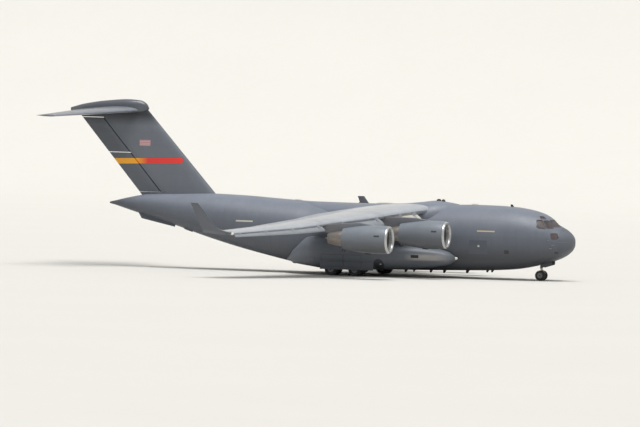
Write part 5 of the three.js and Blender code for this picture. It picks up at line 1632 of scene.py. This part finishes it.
def make_nose_gear():
    s, collar = NOSE_GEAR, 1.3
    roof = BAY["roof"] - BAY["skin"] - 0.001
    parts = [cylinder(0.14, roof - collar, 40, "up", (s, 0, (roof + collar) / 2), 0.01)]
    parts.append(cylinder(0.16, 0.08, 40, "up", (s, 0, collar + 0.12), 0.01))
    parts.append(cylinder(0.1, 2 * BAY["half"] - 0.002, 32, "across", (s, 0, 1.94), 0.01))
    end = BAY["end"] - 0.001
    parts.append(plate([(s + 0.02, 1.42), (s + 0.02, 1.56), (end, 2.0), (end, 1.86)], -0.06, 0.06))
    for out in (-0.24, 0.24):
        lens = [(0.05, 0.0), (0.05, 0.07), (0.0, 0.055), (0.0, 0.0)]
        parts.append(turned(lens, 24, "aft", (s - 0.16, out, 1.5)).slot(1))
        parts.append(rod(place(s, 0, 1.5), place(s - 0.12, out, 1.5), 0.02, 12))
    piece("nose_leg", joined(parts), [gear_paint, lamp_glass], "gear_paint", angle=35)
    high = collar - JOINT_GAP
    parts = [cylinder(0.1, high - 0.42, 36, "up", (s, 0, (high + 0.42) / 2), 0.01).slot(1)]
    parts.append(cylinder(0.16, 0.1, 40, "up", (s, 0, high - 0.05), 0.012))
    parts.append(cylinder(0.12, 0.24, 32, "across", (s, 0, NOSE_TYRE["radius"]), 0.012))
    lug = [(-0.36, 0.68), (-0.3, 0.66), (0, 0.66), (0, 0.82), (-0.3, 0.82), (-0.36, 0.8)]
    links = [(0, 1.05), (0, 1.2), (-0.3, 0.96), (-0.3, 0.86), (0, 0.62), (0, 0.78), (-0.2, 0.91)]
    parts += [plate(lug, -0.09, 0.09, s), plate(links, -0.04, 0.04, s)]
    piece("nose_fork", joined(parts), [gear_paint, bright_metal], "gear_paint", True, 35)
    corners = [(NOSE_DOOR[edge], -NOSE_DOOR["hang"]) for edge in ("start", "end")]
    corners += [(NOSE_DOOR[edge], NOSE_DOOR["tuck"]) for edge in ("end", "start")]
    outline = rounded([(at, underside(at) + rise) for at, rise in corners], 0.08)
    out = BAY["half"] - JOINT_GAP
    door = plate(outline, out - NOSE_DOOR["thick"], out)
    piece("nose_gear_door_#", door, hull_paint, "hull_paint", bevel=0.006)


# Tail


def fin_ring(z):
    row = row_at(FIN, z)
    half = [(x, (foil(x, "up") + foil(x, "down")) / 2 * row["thick"]) for x in foil_samples(0.0, 22)]
    half += [(x, -t) for x, t in half[:0:-1]]
    return [place(row["lead"] + x * row["chord"], t, z) for x, t in half]


def fin_solid():
    return loft([fin_ring(z) for z in FIN_SECTIONS])


def rudder_line(z):
    row = row_at(FIN[1:], z)
    return place(row["lead"] + RUDDER["share"] * row["chord"], 0, z)


def rudder_prism(a, b, outline):
    along = (b - a).normalized()
    aft = (Vector((-1, 0, 0)) + along * along.x).normalized()
    rings = []
    for base in (a - along * 3 * SCALE, b + along * 3 * SCALE):
        spots = [(base + aft * x * SCALE, y * SCALE) for x, y in outline]
        rings.append([Vector((spot.x, y, spot.z)) for spot, y in spots])
    return loft(rings)


def rudder_window(name, low, high):
    """The reach of a rudder seen from the side. Aft of the lugs its upper edge is higher."""
    top = high + RUDDER["rise"][name]
    hinge = LENGTH / 2 - rudder_line(high).x / SCALE
    outline = [(35, low), (60, low), (60, top), (hinge + 0.14, top), (hinge + 0.12, high), (35, high)]
    return plate(outline, -2, 2)


def make_rudder(fin, name, low, high):
    a, b = rudder_line(low), rudder_line(high)
    w, g, far = 0.8, -CONTROL_GAP, 4
    bevel = w * math.tan(math.radians(RUDDER["travel"] + 3))
    wedge = rudder_prism(a, b, [(0, 0), (bevel, w), (far, w), (far, -w), (bevel, -w)])
    leaf = carve(carve(fin_solid(), wedge, "INTERSECT"), rudder_window(name, low, high), "INTERSECT")
    hole = rudder_prism(a, b, [(g, -w), (g, w), (far, w), (far, -w)])
    reach = box(35, 60, -2, 2, low - RUDDER["under"][name], high + RUDDER["over"])
    carve(fin, carve(hole, reach, "INTERSECT"))
    pins = [(rudder_line(start), rudder_line(end)) for owner, start, end in RUDDER_PINS if owner == name]
    parts = [take_shape(leaf)] + [rod(*ends, PIN["radius"], 12) for ends in pins]
    piece("rudder_" + name, joined(parts), tail_paint, "tail_paint", True)


def make_fin():
    fin = mesh_object(fin_solid(), "fin")
    for name, ends in RUDDER_SPANS.items():
        make_rudder(fin, name, *ends)
    lug = [(0.2, -0.035), (-0.03, -0.035), (-0.035, 0), (-0.03, 0.035), (0.2, 0.035)]
    lugs = []
    for ends in RUDDER_LUGS:
        spots = [rudder_line(z) for z in ends]
        lugs.append(loft([[spot + Vector((x, y, 0)) * SCALE for x, y in lug] for spot in spots]))
    carve(fin, hull_solid(*HULL_CUTS["fin"]))
    piece("fin", joined([shape_of(fin), *lugs]), tail_paint, "tail_paint")
    # The cut fin goes only now, because its name counts in the number that the piece's name gets
    discard(fin)


def bullet_solid():
    start, end = BULLET[0]["station"], BULLET[-1]["station"]
    rings = []
    for s in sorted(set(steps(start, end, 0.22)) | {44.76, 44.82, 52.97}):
        row = row_at(BULLET, s, through)
        rings.append(oval(s, row["half"], row["bottom"], row["top"] - 0.02, 48, 2.2, 2.2))
    return loft(rings)


def tail_solid():
    return loft([foil_ring(row_at(TAILPLANE, y)) for y in steps(0.0, TAILPLANE[-1]["y"], 1.1)])


def make_tailplane():
    half = mesh_object(tail_solid())
    a, b = pivots(TAILPLANE, (ELEVATOR["inner"], ELEVATOR["outer"]), ELEVATOR["share"], SURFACE_LIFT)
    leaf = control(half, tail_solid(), a, b, ELEVATOR["travel"] + 4)
    piece("elevator_#", joined([leaf, end_pins(a, b)]), level_paint, "tail_paint", True)
    made = joined([*pair(take_shape(half)), bullet_solid().slot(1)])
    piece("tailplane", made, [level_paint, bullet_paint], "tail_paint")


# Small things on the outside


def blade_aerial(station, base, height, chord):
    """A swept aerial above the hull, or below it where the height is negative."""
    rings = []
    for t, share in ((0.0, 1.0), (0.5, 1.0), (0.92, 1.0), (1.0, 0.9)):
        c = chord * (1 - 0.45 * t) * share
        wide = 0.05 * chord * (1 - 0.5 * t)
        front = station + 0.5 * chord * t
        section = ((0, 0), (0.2, 1), (0.6, 0.8), (1, 0), (0.6, -0.8), (0.2, -1))
        rings.append([place(front + x * c, w * wide, base + height * t) for x, w in section])
    return loft(rings)


def dome(station, base, radius, height):
    rows = [(-0.06, 0.0), (-0.06, radius), (0.0, radius)]
    rows += [(height * math.sin(a), radius * math.cos(a)) for a in (0.3, 0.6, 0.9, 1.2)]
    return turned(rows + [(height, 0.0)], 24, "up", (station, 0, base))


def crown(station):
    """Height of the top of the hull, or of the fairing over it."""
    top = through(HULL, station, "top")
    if 12.2 < station < 28.8:
        top = max(top, through(FAIRING, station, "top"))
    return top - 0.01


def make_aerials():
    parts = [blade_aerial(s, underside(s) + 0.02, -h, c) for s, h, c in LOWER_AERIALS]
    parts.append(blade_aerial(6.3, crown(6.3), 0.24, 0.36))
    for s, r, h in ((14.07, 0.24, 0.2), (13.6, 0.2, 0.22)):
        parts.append(dome(s, crown(s), r, h).slot(1))
    for start, end in ((9.9, 10.7), (18.8, 20.6), (28.3, 29.1)):
        rings = []
        for t in (k / 12 for k in range(13)):
            s = start + (end - start) * t
            full = max(0.0, math.sin(math.pi * t))
            half, high = 0.3 * max(0.1, full) ** 0.5, 0.11 * full**0.4 + 0.004
            rings.append(oval(s, half, crown(s) - 0.08, crown(s) + high, 20, 2.4, 2.4))
        parts.append(loft(rings).slot(2))
    piece("aerials", joined(parts), [dark_metal, seal, pale_trim], angle=40)


def make_side_fittings():
    parts = []
    for side in (-1, 1):
        for s, z in ((1.75, 3.6), (1.95, 3.25), (2.2, 4.05)):
            out = skin(s, z, side, 0.14)
            parts.append(rod(skin(s, z, side), out, 0.02, 10))
            parts.append(rod(out, out + Vector((0.1, 0, 0)), 0.014, 10))
        for number, lift, *edges in SIDE_PATCHES:
            parts.append(hull_patch(*edges, side, lift).slot(number))
    piece("side_fittings", joined(parts), [bright_metal, seal, patch_paint, pale_trim, tan_trim])


def make_lamps():
    parts = []
    lens = [(0, 0), (0.02, 0.08), (0.1, 0.12), (0.25, 0.12), (0.25, 0)]
    for side in (-1, 1):
        tip = turned([(0, 0), (0, 0.05), (0.2, 0.07), (0.4, 0)], 20, "aft", (27.3, side * 25.3, 4.38))
        parts.append(tip.slot(1 if side > 0 else 2))
        for s, y, z in ((10.98, 3.3, 2.0), (26.78, 25.02, 4.32)):
            parts.append(turned(lens, 28, "aft", (s, side * y, z)))
        bulb = [(0, 0), (0.02, 0.05), (0.1, 0.06), (0.2, 0)]
        parts.append(turned(bulb, 24, "aft", (18.2, side * 5.3, 1.25)))
    for s, base, way in ((22.3, crown(22.3), 1), (19.2, underside(19.2) + 0.02, -1)):
        beacon = [(0, 0), (0, 0.07), (0.08 * way, 0.06), (0.14 * way, 0)]
        parts.append(turned(beacon, 24, "up", (s, 0, base)).slot(1))
    piece("lamps", joined(parts), [lamp_glass, red_glass, green_glass], angle=40)


def make_interior():
    """Seats, screens and control columns of the flight deck, and seats along the hold."""
    cloth, metal = [], []
    for side in (-1, 1):
        y = side * 0.75
        cloth.append(box(3.5, 4.08, y - 0.26, y + 0.26, 4.25, 4.36))
        cloth.append(box(3.98, 4.08, y - 0.26, y + 0.26, 4.36, 5.15))
        metal.append(rod(place(3.25, y, 3.85), place(3.1, y, 4.5), 0.03, 12))
        metal.append(rod(place(3.1, y - 0.16, 4.55), place(3.1, y + 0.16, 4.55), 0.022, 12))
        for out in (y - 0.5, y - 0.16, y + 0.18):
            metal.append(box(2.69, 2.72, out, out + 0.28, 4.45, 4.75))
        for s in steps(7.0, 27.0, 0.62):
            for out, half, low, high in ((2.35, 0.2, 2.02, 2.1), (2.6, 0.03, 2.1, 2.75)):
                cloth.append(box(s, s + 0.5, side * out - half, side * out + half, low, high))
        rail = side * 2.18
        metal.append(rod(place(6.8, rail, 2.0), place(27.7, rail, 2.0), 0.025, 10))
        for s in steps(7.0, 27.4, 2.0):
            metal.append(rod(place(s, rail, 1.62), place(s, rail, 2.02), 0.02, 8))
    piece("seats", joined(cloth), seat_cloth, bevel=0.02)
    piece("flight_deck_fittings", joined(metal), dark_metal)


make_nose()
make_middle()
make_aft()
make_wing()
make_leading_edge()
make_spoilers()
make_root_fairing()
for place_name, spec in ENGINES.items():
    make_engine(place_name, spec)
    make_fan(place_name, spec)
    make_pylon(place_name, spec)
make_pods()
make_wheels()
for row, station in MAIN_ROWS.items():
    make_main_leg(row, station)
make_nose_gear()
make_fin()
make_tailplane()
make_aerials()
make_side_fittings()
make_lamps()
make_interior()

for name, finish in (("flight_deck", cabin_paint), ("hold_floor", deck_metal)):
    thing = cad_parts[name]
    if thing.material_slots:
        for slot in thing.material_slots:
            slot.link = "OBJECT"
            slot.material = finish
    else:
        thing.data.materials.append(finish)


# Floor, light and camera


def make_stage():
    """A floor that curves up into a backdrop. It is seen only from its front."""
    half, reach, bend, top, sunk = 900, 150, 90, 260, 0.002
    profile = [(-half, -sunk), (reach, -sunk)]
    for angle in (math.pi / 2 * k / 16 for k in range(1, 17)):
        profile.append((reach + bend * math.sin(angle), bend - (bend + sunk) * math.cos(angle)))
    profile.append((reach + bend, top))
    sheet = Shape(Vector((x, y, z)) for x in (-half, half) for y, z in profile)
    count = len(profile)
    sheet.faces = [([i, count + i, count + i + 1, i + 1], 0) for i in range(count - 1)]
    floor = mesh_object(sheet, "floor")
    if floor.data.polygons[0].normal.z < 0:
        floor.data.flip_normals()
    floor.data.polygons.foreach_set("use_smooth", [True] * len(floor.data.polygons))
    paint = Paint("floor", (214, 212, 207), 0.85)
    paint.shade(paint.noise(0.05, 3) * 0.04 + paint.noise(0.8, 4) * 0.03 + 1.0)
    floor.data.materials[0] = paint.done()
    clear = paint.nodes.new("ShaderNodeBsdfTransparent")
    mix = paint.nodes.new("ShaderNodeMixShader")
    sides = paint.nodes.new("ShaderNodeNewGeometry")
    sources = (sides.outputs["Backfacing"], paint.shader.outputs[0], clear.outputs[0])
    for source, socket in zip(sources, mix.inputs):
        paint.links.new(source, socket)
    paint.links.new(mix.outputs[0], paint.nodes["Material Output"].inputs["Surface"])


def make_light():
    world = bpy.data.worlds.new("world")
    bpy.context.scene.world = world
    world.use_nodes = True
    sky = world.node_tree.nodes["Background"]
    sky.inputs["Color"].default_value = linear(238, 239, 240)
    sky.inputs["Strength"].default_value = 0.5
    sun = bpy.data.lights.new("sun", "SUN")
    sun.energy = 2.9
    sun.angle = math.radians(40)
    sun.color = (1.0, 0.99, 0.975)
    lamp = bpy.data.objects.new("sun", sun)
    lamp.rotation_euler = (math.radians(14), math.radians(8), 0)
    bpy.context.scene.collection.objects.link(lamp)
    bpy.context.scene.view_settings.view_transform = "Standard"


def make_camera():
    turn, rise, roll = CAMERA["turn"], CAMERA["rise"], CAMERA["roll"]
    right = Vector((math.cos(turn), math.sin(turn), 0))
    back = Vector((math.sin(turn) * math.cos(rise), -math.cos(turn) * math.cos(rise), math.sin(rise)))
    up = back.cross(right)
    aside, below = CAMERA["shift"]
    spot = place(25, 0, 6) + (back * CAMERA["distance"] - right * aside - up * below) * SCALE
    across = right * math.cos(roll) - up * math.sin(roll)
    rising = right * math.sin(roll) + up * math.cos(roll)
    lens = bpy.data.cameras.new("camera")
    lens.sensor_width = 36
    lens.lens = CAMERA["lens"]
    lens.clip_start = 5
    lens.clip_end = 3000
    camera = bpy.data.objects.new("camera", lens)
    camera.matrix_world = Matrix.Translation(spot) @ Matrix((across, rising, back)).transposed().to_4x4()
    bpy.context.scene.collection.objects.link(camera)
    bpy.context.scene.camera = camera


make_stage()
make_light()
make_camera()
